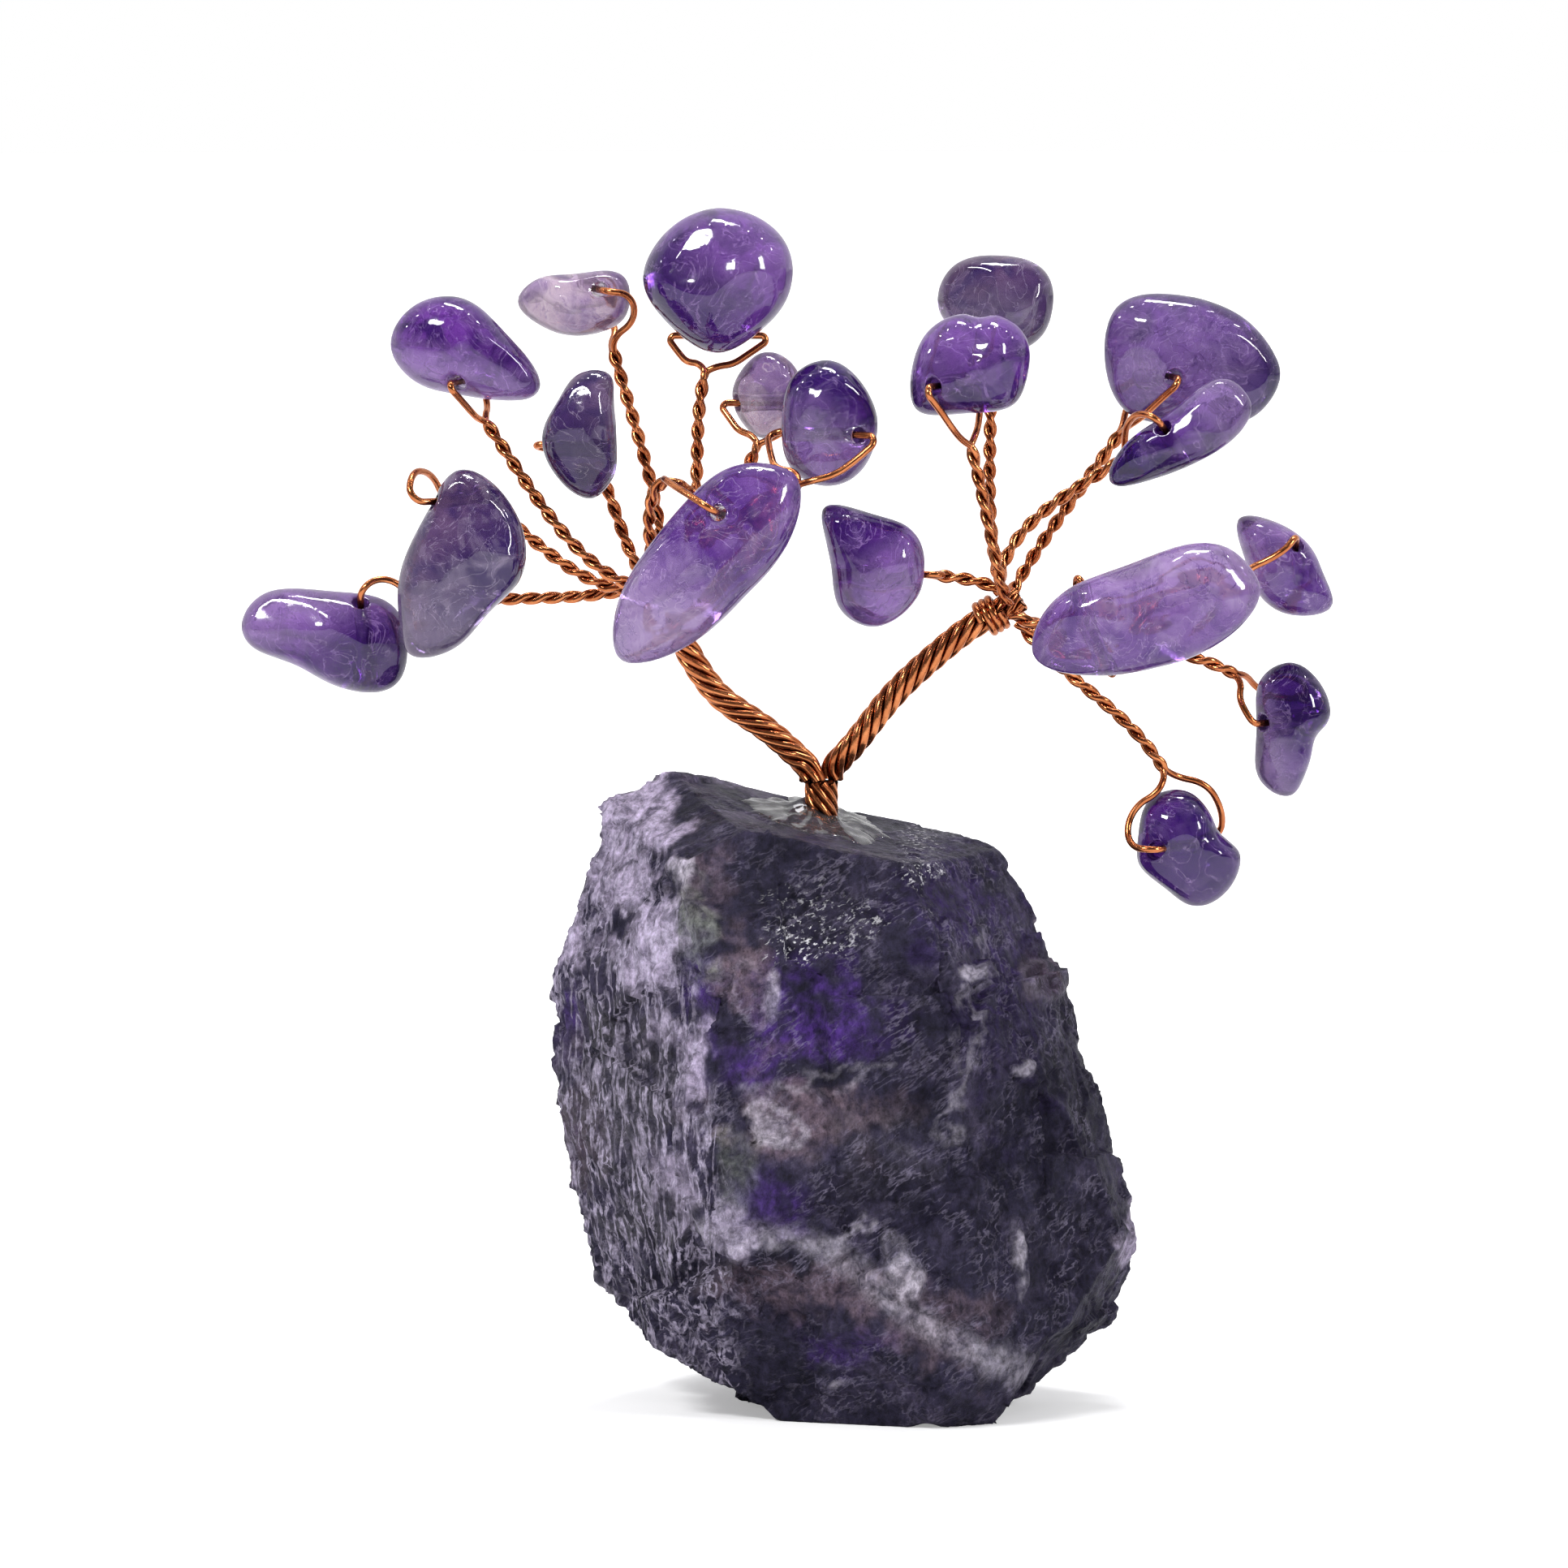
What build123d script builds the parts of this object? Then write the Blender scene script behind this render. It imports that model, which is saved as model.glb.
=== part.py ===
from build123d import *
import math
import os

# Gemstone tree: tumbled stone beads on twisted copper wire, standing on a rough stone.
# Lengths are millimetres and angles are degrees.  X is right, Y is away from the
# viewer, Z is up, and the origin is on the standing face, under the trunk.

# Wire
WIRE_DIAMETER = 0.42
STRAND_GAP = 0.06
BRANCH_SLACK = 0.13
TWIG_PITCH = 2.9
BRANCH_PITCH = 7.5
TRUNK_PITCH = 8.0
BRANCH_RING_COUNT = 6
TRUNK_INNER_COUNT = 5
TRUNK_OUTER_COUNT = 9
LINE_STEPS = 240
LEAST_STATIONS = 4
STRAIGHT_ENOUGH = 1e-5
TWIG_STATIONS_PER_TURN = 4
BUNDLE_STATIONS_PER_TURN = 8

# Rough stone and the socket that holds the trunk
ROCK_WIDTH = 42.0
ROCK_DEPTH = 31.0
ROCK_HEIGHT = 44.8
SOCKET_DEPTH = 9.0
SOCKET_CLEARANCE = 0.15
GLUE_RADIUS = 2.7
GLUE_HEIGHT = 0.9
GLUE_CLEARANCE = 0.06

# Tree
TRUNK_RISE = 1.9
LEFT_BRANCH_REACH = 11.8
LEFT_BRANCH_RISE = 14.2
RIGHT_BRANCH_REACH = 13.2
RIGHT_BRANCH_RISE = 12.5
BRANCH_SEAT_GAP = 0.2
BRANCH_STUB = 0.9
WRAP_TURNS = 3
WRAP_DROP = 0.75
TWIG_SEAT_GAP = 0.16
CROWN_REACH = 38.4
CROWN_DEPTH = 12.0
CROWN_RISE = 40.6

# Drilled holes and the wire that passes through them
HOLE_DIAMETER = 1.1
MOUTH_DISTANCE = 0.16
KNEE_DISTANCE = 0.6
PARTING_SHARE = 1.1
FLARE_SHARE = 1.1
HANDLE_SHARE = 0.36

# Corners of the stone's outline seen from the front, as shares of its width and height
ROCK_CORNER_SHARES = {
    "crest": (-0.248, 0.998),
    "shoulder": (0.298, 0.882),
    "upper_right": (0.405, 0.708),
    "bulge": (0.545, 0.246),
    "lower_right": (0.493, 0.125),
    "right_foot": (0.310, 0.0),
    "left_foot": (-0.100, 0.0),
    "lower_left": (-0.376, 0.194),
    "left": (-0.450, 0.529),
    "upper_left": (-0.452, 0.670),
    "brow": (-0.357, 0.951),
}

# Each flank runs between two corners and is a pair of cleavage faces that meet in a
# ridge: how far back the ridge lies, and how fast each face leans in from it.
ROCK_FLANK_SHARES = {
    ("crest", "shoulder"): (0.16, 0.02, 0.35),
    ("shoulder", "upper_right"): (0.02, 0.50, 0.45),
    ("upper_right", "bulge"): (-0.06, 0.35, 0.40),
    ("bulge", "lower_right"): (-0.02, 0.45, 0.60),
    ("lower_right", "right_foot"): (0.0, 0.35, 0.45),
    ("left_foot", "lower_left"): (0.0, 0.08, 0.10),
    ("lower_left", "left"): (0.05, 0.40, 0.50),
    ("left", "upper_left"): (0.06, 0.55, 0.35),
    ("upper_left", "brow"): (0.04, 0.50, 0.50),
    ("brow", "crest"): (0.06, 0.30, 0.60),
}

# Broad faces that cut the front and the back: a point on each as shares of width,
# depth and height, and the way it faces.
ROCK_FACE_SHARES = {
    "front_brow": ((0.0, -0.47, 0.70), (0.06, -0.92, 0.40)),
    "front": ((0.0, -0.47, 0.55), (0.04, -1.0, -0.02)),
    "front_keel": ((-0.12, -0.47, 0.29), (-0.26, -0.84, -0.42)),
    "left_cheek": ((-0.215, -0.44, 0.55), (-0.74, -0.66, 0.06)),
    "right_cheek": ((0.270, -0.43, 0.45), (0.62, -0.78, 0.02)),
    "back": ((0.0, 0.47, 0.50), (0.08, 1.0, 0.06)),
    "back_left": ((-0.22, 0.42, 0.50), (-0.62, 0.78, 0.10)),
    "back_right": ((0.26, 0.42, 0.42), (0.60, 0.80, -0.08)),
    "back_brow": ((0.0, 0.36, 0.80), (-0.10, 0.84, 0.54)),
    "back_keel": ((0.0, 0.42, 0.22), (0.12, 0.80, -0.58)),
}

# Centre lines of the branches: shares of reach and rise from the trunk's top
LEFT_BRANCH_SHARES = ((0.14, 0.125), (0.355, 0.28), (0.595, 0.42), (0.76, 0.60), (0.905, 0.83))
RIGHT_BRANCH_SHARES = ((0.12, 0.15), (0.38, 0.49), (0.60, 0.71), (0.81, 0.885))

# Beads, each with its own sizes.  Place shares are of the crown's reach, depth and rise.
# Outline shares stretch an ellipse at eight points, anticlockwise from the long axis's
# end.  Hole, fork and knee shares are of the bead's half sizes: along it, across it,
# forward.  A knee is where a leg of the wire loop bows out on its way to the hole.
BEADS = {
    "left_teardrop": {
        "length": 10.3, "width": 7.4, "thickness": 6.2, "tilt": 0.0,
        "place_shares": (-0.655, -0.083, 0.760),
        "outline_shares": (0.72, 0.65, 0.92, 1.02, 1.0, 0.96, 0.97, 1.20),
        "hole_shares": (0.03, -0.66, 0.0), "hole_turn": -18.0, "hole_pitch": 0.0,
        "fork_shares": (0.30, -1.42, 0.0), "branch": "left",
    },
    "left_pale": {
        "length": 8.3, "width": 5.0, "thickness": 4.6, "tilt": 0.0,
        "place_shares": (-0.454, 0.417, 0.826),
        "outline_shares": (0.97, 1.15, 0.83, 0.93, 0.99, 0.92, 0.99, 1.02),
        "hole_shares": (0.32, 0.38, 0.0), "hole_turn": 18.0, "hole_pitch": 0.0,
        "fork_shares": (0.66, -1.35, 0.0), "branch": "left",
        "front_knee_shares": (1.02, -0.10, 0.72),
        "rear_knee_shares": (0.64, -0.64, -1.08),
    },
    "left_round": {
        "length": 10.7, "width": 10.4, "thickness": 8.6, "tilt": 0.0,
        "place_shares": (-0.189, 0.083, 0.870),
        "outline_shares": (0.99, 1.03, 0.99, 0.96, 1.0, 0.90, 1.0, 0.90),
        "hole_shares": (-0.01, -0.77, -0.36), "hole_turn": 90.0, "hole_pitch": 0.0,
        "fork_shares": (-0.16, -1.22, -0.30), "branch": "left",
    },
    "left_dark": {
        "length": 5.4, "width": 9.4, "thickness": 4.8, "tilt": 0.0,
        "place_shares": (-0.448, -0.167, 0.617),
        "outline_shares": (0.95, 1.24, 0.83, 0.66, 0.89, 0.93, 0.95, 1.02),
        "hole_shares": (0.0, -0.25, -0.64), "hole_turn": 90.0, "hole_pitch": 0.0,
        "fork_shares": (0.35, -0.46, -1.90), "branch": "left",
    },
    "left_smoky": {
        "length": 8.4, "width": 14.2, "thickness": 6.4, "tilt": 0.0,
        "place_shares": (-0.660, -0.458, 0.388),
        "outline_shares": (0.94, 1.04, 0.96, 0.77, 0.97, 1.25, 0.80, 0.63),
        "hole_shares": (-0.12, 0.64, -0.15), "hole_turn": 120.0, "hole_pitch": 0.0,
        "fork_shares": (0.20, 0.62, -1.62), "branch": "left",
        "rear_knee_shares": (-0.66, 0.92, -0.42),
    },
    "left_end": {
        "length": 11.8, "width": 7.7, "thickness": 6.2, "tilt": 0.0,
        "place_shares": (-0.909, 0.208, 0.236),
        "outline_shares": (0.99, 1.08, 0.99, 1.13, 0.84, 0.56, 0.74, 1.15),
        "hole_shares": (0.42, 0.40, 0.05), "hole_turn": 0.0, "hole_pitch": 52.0,
        "fork_shares": (1.18, 0.62, 0.0), "branch": "left",
        "front_knee_shares": (0.72, 1.20, 0.40),
        "rear_knee_shares": (0.85, 0.0, -1.05),
    },
    "left_small": {
        "length": 4.9, "width": 6.5, "thickness": 4.4, "tilt": 0.0,
        "place_shares": (-0.106, 0.375, 0.664),
        "outline_shares": (1.0, 1.10, 0.97, 0.88, 0.95, 0.89, 0.97, 0.95),
        "hole_shares": (0.0, -0.15, 0.30), "hole_turn": 90.0, "hole_pitch": 0.0,
        "fork_shares": (-0.14, -0.95, 1.05), "branch": "left",
    },
    "left_deep": {
        "length": 7.0, "width": 9.1, "thickness": 6.2, "tilt": 0.0,
        "place_shares": (0.015, -0.230, 0.630),
        "outline_shares": (0.98, 0.91, 0.98, 1.05, 0.99, 1.07, 1.0, 1.0),
        "hole_shares": (0.05, -0.16, 0.22), "hole_turn": 58.0, "hole_pitch": 0.0,
        "fork_shares": (-0.60, -0.86, 0.98), "branch": "left",
        "front_knee_shares": (0.30, -0.64, 1.06),
        "rear_knee_shares": (-1.14, -0.58, 0.42),
    },
    "left_long": {
        "length": 18.0, "width": 7.6, "thickness": 6.2, "tilt": 49.0,
        "place_shares": (-0.217, -0.850, 0.400),
        "outline_shares": (1.0, 1.07, 1.0, 0.97, 0.98, 0.96, 1.0, 1.09),
        "hole_shares": (0.40, 0.30, 0.0), "hole_turn": 0.0, "hole_pitch": 14.0,
        "fork_shares": (0.30, 1.45, -0.75), "branch": "left",
        "front_knee_shares": (0.34, 1.22, 0.42),
        "rear_knee_shares": (0.36, 0.90, -1.22),
    },
    "right_top": {
        "length": 8.3, "width": 7.2, "thickness": 6.0, "tilt": 0.0,
        "place_shares": (0.320, 0.400, 0.822),
        "outline_shares": (1.0, 1.08, 0.99, 1.06, 1.0, 0.90, 0.98, 1.03),
        "hole_shares": (-0.05, -0.40, 0.0), "hole_turn": 0.0, "hole_pitch": 0.0,
        "fork_shares": (-0.08, -1.45, 0.0), "branch": "right",
    },
    "right_heart": {
        "length": 8.9, "width": 7.6, "thickness": 6.2, "tilt": 0.0,
        "place_shares": (0.265, -0.350, 0.732),
        "outline_shares": (1.0, 1.09, 0.99, 0.90, 0.88, 1.17, 0.91, 1.05),
        "hole_shares": (-0.25, -0.35, 0.0), "hole_turn": -30.0, "hole_pitch": 0.0,
        "fork_shares": (0.05, -1.45, 0.0), "branch": "right",
    },
    "right_triangle": {
        "length": 12.6, "width": 9.7, "thickness": 6.2, "tilt": 0.0,
        "place_shares": (0.677, 0.333, 0.725),
        "outline_shares": (1.0, 0.88, 0.95, 1.15, 0.97, 1.04, 0.98, 1.10),
        "hole_shares": (-0.33, -0.20, 0.0), "hole_turn": 18.0, "hole_pitch": 0.0,
        "fork_shares": (-0.78, -1.05, 0.0), "branch": "right",
    },
    "right_splinter": {
        "length": 11.2, "width": 4.2, "thickness": 4.2, "tilt": 34.0,
        "place_shares": (0.657, -0.300, 0.605),
        "outline_shares": (0.99, 1.24, 1.0, 1.07, 1.0, 0.89, 1.0, 1.13),
        "hole_shares": (-0.12, 0.05, -0.05), "hole_turn": 0.0, "hole_pitch": 46.0,
        "fork_shares": (-0.72, 0.40, -1.45), "branch": "right",
        "front_knee_shares": (-0.36, 1.50, 0.05),
    },
    "right_beak": {
        "length": 7.4, "width": 8.9, "thickness": 5.6, "tilt": 0.0,
        "place_shares": (0.095, -0.292, 0.385),
        "outline_shares": (1.0, 0.90, 0.83, 1.33, 0.83, 0.96, 1.0, 0.98),
        "hole_shares": (0.15, -0.16, -0.55), "hole_turn": 75.0, "hole_pitch": 0.0,
        "fork_shares": (1.20, -0.20, -0.75), "branch": "right",
        "rear_knee_shares": (0.0, -0.18, -1.32),
    },
    "right_long": {
        "length": 16.7, "width": 7.7, "thickness": 6.2, "tilt": 20.0,
        "place_shares": (0.585, -0.750, 0.310),
        "outline_shares": (1.0, 1.11, 1.0, 1.06, 1.0, 0.93, 1.0, 1.08),
        "hole_shares": (-0.40, 0.0, -0.68), "hole_turn": 0.0, "hole_pitch": 90.0,
        "fork_shares": (-0.58, 0.0, -1.70), "branch": "right",
    },
    "right_wedge": {
        "length": 7.1, "width": 7.4, "thickness": 5.2, "tilt": 0.0,
        "place_shares": (0.846, 0.292, 0.374),
        "outline_shares": (0.77, 0.65, 0.75, 1.23, 0.74, 0.75, 0.97, 1.20),
        "hole_shares": (0.26, 0.14, 0.05), "hole_turn": 0.0, "hole_pitch": 35.0,
        "fork_shares": (-0.85, -0.26, 0.95), "branch": "right",
        "front_knee_shares": (-0.05, 0.28, 1.22),
        "rear_knee_shares": (-1.0, -0.30, -0.60),
    },
    "right_drop": {
        "length": 5.3, "width": 9.9, "thickness": 4.8, "tilt": 0.0,
        "place_shares": (0.863, 0.250, 0.083),
        "outline_shares": (0.96, 1.05, 0.99, 1.10, 0.95, 1.10, 0.97, 0.73),
        "hole_shares": (-0.30, 0.12, 0.0), "hole_turn": -46.0, "hole_pitch": 0.0,
        "fork_shares": (-1.42, 0.78, 0.0), "branch": "right",
        "front_knee_shares": (-1.30, 0.38, 0.62),
        "rear_knee_shares": (-0.60, 0.46, -1.25),
    },
    "right_low": {
        "length": 6.9, "width": 8.5, "thickness": 5.4, "tilt": 0.0,
        "place_shares": (0.673, -0.167, -0.107),
        "outline_shares": (0.98, 0.71, 0.93, 1.15, 0.94, 0.78, 1.0, 1.10),
        "hole_shares": (-0.12, 0.02, 0.0), "hole_turn": -34.0, "hole_pitch": 0.0,
        "fork_shares": (-0.50, 1.25, 0.0), "branch": "right",
        "front_knee_shares": (-1.26, 0.30, 0.50),
        "rear_knee_shares": (0.52, 0.82, -0.50),
    },
}

OUTLINE_STEP = 45.0
SECTION_ANGLES = (-76.0, -50.0, -25.0, 0.0, 25.0, 50.0, 76.0)

# Sizes that follow from the ones above
WIRE_RADIUS = WIRE_DIAMETER / 2
STRAND_SPACING = WIRE_DIAMETER + STRAND_GAP
UP = Vector(0, 0, 1)
FORWARD = Vector(0, -1, 0)


def strand_distance(radius, count, pitch):
    """Least distance between the centres of two neighbouring helical strands."""
    least = 2 * radius
    for step in range(181):
        slip = math.radians(step)
        across = 2 * radius**2 * (1 - math.cos(2 * math.pi / count - slip))
        along = (pitch * slip / (2 * math.pi)) ** 2
        least = min(least, math.sqrt(across + along))
    return least


def ring_radius(count, pitch):
    """Radius of the circle on which helical strands of this pitch lie side by side."""
    small = STRAND_SPACING / 2
    large = STRAND_SPACING * count
    for _ in range(40):
        middle = (small + large) / 2
        if strand_distance(middle, count, pitch) < STRAND_SPACING:
            small = middle
        else:
            large = middle
    return large


TWIG_RADIUS = ring_radius(2, TWIG_PITCH)
TWIG_REACH = TWIG_RADIUS + WIRE_RADIUS
BRANCH_RADIUS = max(ring_radius(BRANCH_RING_COUNT, BRANCH_PITCH), STRAND_SPACING) + BRANCH_SLACK
BRANCH_REACH = BRANCH_RADIUS + WIRE_RADIUS
TRUNK_INNER_RADIUS = ring_radius(TRUNK_INNER_COUNT, TRUNK_PITCH)
TRUNK_OUTER_RADIUS = max(
    ring_radius(TRUNK_OUTER_COUNT, TRUNK_PITCH), TRUNK_INNER_RADIUS + STRAND_SPACING
)
TRUNK_REACH = TRUNK_OUTER_RADIUS + WIRE_RADIUS


def rock_corner(name):
    """A corner of the stone's front outline, in the plane of the trunk."""
    across_share, up_share = ROCK_CORNER_SHARES[name]
    return Vector(ROCK_WIDTH * across_share, 0, ROCK_HEIGHT * up_share)


def flank_planes(start_name, end_name, ridge_share, front_lean, back_lean):
    """The two cleavage faces of one flank, each facing out of the stone."""
    start = rock_corner(start_name)
    along = rock_corner(end_name) - start
    outward = Vector(-along.Z, 0, along.X).normalized()
    ridge = start + FORWARD * (-ridge_share * ROCK_DEPTH)
    front = Plane(origin=ridge, z_dir=outward + FORWARD * front_lean)
    back = Plane(origin=ridge, z_dir=outward - FORWARD * back_lean)
    return front, back


def face_plane(place_share, facing):
    """A broad face of the stone through a point given in shares of its sizes."""
    place = Vector(
        ROCK_WIDTH * place_share[0], ROCK_DEPTH * place_share[1], ROCK_HEIGHT * place_share[2]
    )
    return Plane(origin=place, z_dir=Vector(*facing))


def top_plane():
    """The sloping top face that the trunk stands in."""
    ridge_share, front_lean, back_lean = ROCK_FLANK_SHARES[("crest", "shoulder")]
    return flank_planes("crest", "shoulder", ridge_share, front_lean, back_lean)[0]


def trunk_foot():
    """Where the trunk's axis meets the top of the stone."""
    plane = top_plane()
    height = plane.origin.dot(plane.z_dir) / plane.z_dir.Z
    return Vector(0, 0, height)


def rock_planes():
    """Every cleavage face of the stone."""
    planes = []
    for (start_name, end_name), shares in ROCK_FLANK_SHARES.items():
        planes.extend(flank_planes(start_name, end_name, *shares))
    for place_share, facing in ROCK_FACE_SHARES.values():
        planes.append(face_plane(place_share, facing))
    return planes


def rock_base():
    """The rough stone: a block cleaved on every face, with a blind socket for the trunk."""
    block = Box(
        2 * ROCK_WIDTH, 2 * ROCK_DEPTH, 2 * ROCK_HEIGHT, align=(Align.CENTER, Align.CENTER, Align.MIN)
    )
    for plane in rock_planes():
        block = split(block, bisect_by=plane, keep=Keep.BOTTOM)
    foot = trunk_foot()
    socket = Cylinder(
        TRUNK_REACH + SOCKET_CLEARANCE, 2 * SOCKET_DEPTH, align=(Align.CENTER, Align.CENTER, Align.CENTER)
    )
    return block - Pos(foot) * socket


def glue_collar():
    """The clear glue that pooled round the trunk's foot, a low dome on the top face."""
    sphere_radius = (GLUE_RADIUS**2 + GLUE_HEIGHT**2) / (2 * GLUE_HEIGHT)
    plane = top_plane()
    foot = Plane(origin=trunk_foot(), x_dir=plane.x_dir, z_dir=plane.z_dir)
    dome = foot * Pos(0, 0, GLUE_HEIGHT - sphere_radius) * Sphere(sphere_radius)
    dome = split(dome, bisect_by=foot, keep=Keep.TOP)
    passage = Cylinder(TRUNK_REACH + GLUE_CLEARANCE, ROCK_HEIGHT)
    return dome - Pos(trunk_foot()) * passage


def tangent_pair(start, start_way, end, end_way):
    """Two arcs that join two points smoothly in the given directions."""
    chord = end - start
    both = start_way + end_way
    spread = 2 * (1 - start_way.dot(end_way))
    along = chord.dot(both)
    if spread < STRAIGHT_ENOUGH:
        reach = chord.dot(chord) / (4 * chord.dot(end_way))
    else:
        reach = (math.sqrt(along**2 + spread * chord.dot(chord)) - along) / spread
    middle = (start + end + (start_way - end_way) * reach) / 2
    middle_way = (chord - both * reach).normalized()
    return [arc_from(start, start_way, middle), arc_from(middle, middle_way, end)]


def arc_from(start, way, end):
    """An arc that leaves a point in a given direction, or a line if it would be straight."""
    if (end - start).normalized().cross(way).length < STRAIGHT_ENOUGH:
        return Edge.make_line(start, end)
    return Edge.make_tangent_arc(start, way, end)


def wire_through(stations):
    """A round wire through (point, direction) stations."""
    edges = []
    for (start, start_way), (end, end_way) in zip(stations, stations[1:]):
        edges.extend(tangent_pair(start, start_way, end, end_way))
    path = Wire(edges)
    first, first_way = stations[0]
    section = Plane(origin=first, z_dir=first_way) * Circle(WIRE_RADIUS)
    return Solid.sweep(section.face(), path)


class CentreLine:
    """A curve with a frame that does not spin, to lay helical strands round."""

    def __init__(self, edge, start_side):
        self.edge = edge
        self.length = edge.length
        self.steps = LINE_STEPS
        self.points = []
        self.ways = []
        self.sides = []
        side = start_side
        for step in range(self.steps + 1):
            place = step / self.steps
            way = edge.tangent_at(place).normalized()
            side = (side - way * side.dot(way)).normalized()
            self.points.append(edge.position_at(place))
            self.ways.append(way)
            self.sides.append(side)

    def spot(self, place, radius, angle):
        """A point at a radius and an angle round the curve, at a share of its length."""
        step = min(max(round(place * self.steps), 0), self.steps)
        beyond = (place - step / self.steps) * self.length
        way = self.ways[step]
        side = self.sides[step]
        other = way.cross(side)
        centre = self.points[step] + way * beyond
        return centre + side * (radius * math.cos(angle)) + other * (radius * math.sin(angle))


def strand_stations(line, radius, turns, start_angle, stations_per_turn):
    """Stations of one left-handed strand along a centre line."""
    count = max(LEAST_STATIONS, round(turns * stations_per_turn))
    spots = []
    for step in range(-1, count + 2):
        place = step / count
        spots.append(line.spot(place, radius, start_angle - 2 * math.pi * turns * place))
    stations = []
    for before, here, after in zip(spots, spots[1:], spots[2:]):
        stations.append((here, (after - before).normalized()))
    return stations


def straight_stations(line):
    """Stations of a core strand that follows the centre line itself."""
    count = max(LEAST_STATIONS, round(line.length / TWIG_PITCH))
    spots = [line.spot(step / count, 0, 0) for step in range(-1, count + 2)]
    stations = []
    for before, here, after in zip(spots, spots[1:], spots[2:]):
        stations.append((here, (after - before).normalized()))
    return stations


def strand_ring(line, radius, count, pitch):
    """Strands laid side by side round a centre line."""
    turns = line.length / pitch
    strands = []
    for number in range(count):
        angle = 2 * math.pi * number / count
        stations = strand_stations(line, radius, turns, angle, BUNDLE_STATIONS_PER_TURN)
        strands.append(wire_through(stations))
    return strands


def trunk_top():
    """Where the trunk ends and the two branches begin."""
    return trunk_foot() + UP * TRUNK_RISE


def trunk():
    """The two branches' wires twisted together and set in the stone."""
    bottom = trunk_foot() - UP * (SOCKET_DEPTH - SOCKET_CLEARANCE)
    line = CentreLine(Edge.make_line(bottom, trunk_top()), Vector(1, 0, 0))
    strands = strand_ring(line, TRUNK_INNER_RADIUS, TRUNK_INNER_COUNT, TRUNK_PITCH)
    strands += strand_ring(line, TRUNK_OUTER_RADIUS, TRUNK_OUTER_COUNT, TRUNK_PITCH)
    return Compound(children=strands)


def branch_line(side):
    """Centre line of a branch, from the trunk's top through its fork to its cut end."""
    if side == "left":
        reach, rise, shares, sign = -LEFT_BRANCH_REACH, LEFT_BRANCH_RISE, LEFT_BRANCH_SHARES, -1
    else:
        reach, rise, shares, sign = RIGHT_BRANCH_REACH, RIGHT_BRANCH_RISE, RIGHT_BRANCH_SHARES, 1
    root = trunk_top() + UP * BRANCH_SEAT_GAP
    apart = BRANCH_REACH + STRAND_GAP
    start = root + Vector(sign * apart * math.sin(math.pi / 4), sign * apart * math.cos(math.pi / 4), 0)
    points = [start]
    for across_share, up_share in shares:
        points.append(trunk_top() + Vector(reach * across_share, 0, rise * up_share))
    fork = trunk_top() + Vector(reach, 0, rise)
    end_way = (fork - points[-1]).normalized()
    points.append(fork)
    points.append(fork + end_way * BRANCH_STUB)
    return Edge.make_spline(points, tangents=[UP, end_way], scale=False), fork, end_way


def branch(side):
    """One branch: strands twisted round a core strand."""
    edge, fork, end_way = branch_line(side)
    line = CentreLine(edge, Vector(1, 0, 0))
    strands = [wire_through(straight_stations(line))]
    strands += strand_ring(line, BRANCH_RADIUS, BRANCH_RING_COUNT, BRANCH_PITCH)
    return Compound(children=strands)


def wrap(side):
    """The turns of wire that bind a branch just under its fork."""
    edge, fork, end_way = branch_line(side)
    radius = BRANCH_REACH + STRAND_GAP + WIRE_RADIUS
    top = fork - end_way * WRAP_DROP
    bottom = top - end_way * (WRAP_TURNS * STRAND_SPACING)
    line = CentreLine(Edge.make_line(bottom, top), FORWARD)
    return wire_through(strand_stations(line, radius, WRAP_TURNS, 0, BUNDLE_STATIONS_PER_TURN))


def bead_plane(bead):
    """The bead's own frame: along it, across it, and toward the viewer."""
    across_share, depth_share, up_share = bead["place_shares"]
    place = trunk_top() + Vector(
        CROWN_REACH * across_share, CROWN_DEPTH * depth_share, CROWN_RISE * up_share
    )
    tilt = math.radians(bead["tilt"])
    return Plane(origin=place, x_dir=Vector(math.cos(tilt), 0, math.sin(tilt)), z_dir=FORWARD)


def bead_spot(bead, shares):
    """A point in the bead's frame, in shares of its half sizes, as a place in space."""
    along, across, forward = shares
    local = Vector(
        along * bead["length"] / 2, across * bead["width"] / 2, forward * bead["thickness"] / 2
    )
    return bead_plane(bead).from_local_coords(local)


def hole_way(bead):
    """Direction of the drilled hole."""
    turn = math.radians(bead["hole_turn"])
    pitch = math.radians(bead["hole_pitch"])
    flat = math.cos(pitch)
    plane = bead_plane(bead)
    way = plane.x_dir * (flat * math.sin(turn)) + plane.y_dir * math.sin(pitch)
    return (way + plane.z_dir * (flat * math.cos(turn))).normalized()


def pebble(bead):
    """The tumbled stone before it is drilled: rounded sections of one outline."""
    outline = []
    for number, share in enumerate(bead["outline_shares"]):
        angle = math.radians(OUTLINE_STEP * number)
        outline.append(
            (share * math.cos(angle) * bead["length"] / 2, share * math.sin(angle) * bead["width"] / 2)
        )
    half = bead["thickness"] / 2
    sections = []
    for angle in SECTION_ANGLES:
        scale = math.cos(math.radians(angle))
        level = half * math.sin(math.radians(angle))
        points = [(x * scale, y * scale, level) for x, y in outline]
        sections.append(Wire([Edge.make_spline(points, periodic=True)]))
    return bead_plane(bead).location * Solid.make_loft(sections)


def bead_solid(bead):
    """A tumbled stone with its drilled hole."""
    longest = bead["length"] + bead["width"] + bead["thickness"]
    plane = Plane(origin=bead_spot(bead, bead["hole_shares"]), z_dir=hole_way(bead))
    drill = plane * Cylinder(HOLE_DIAMETER / 2, longest)
    return pebble(bead) - drill


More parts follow.
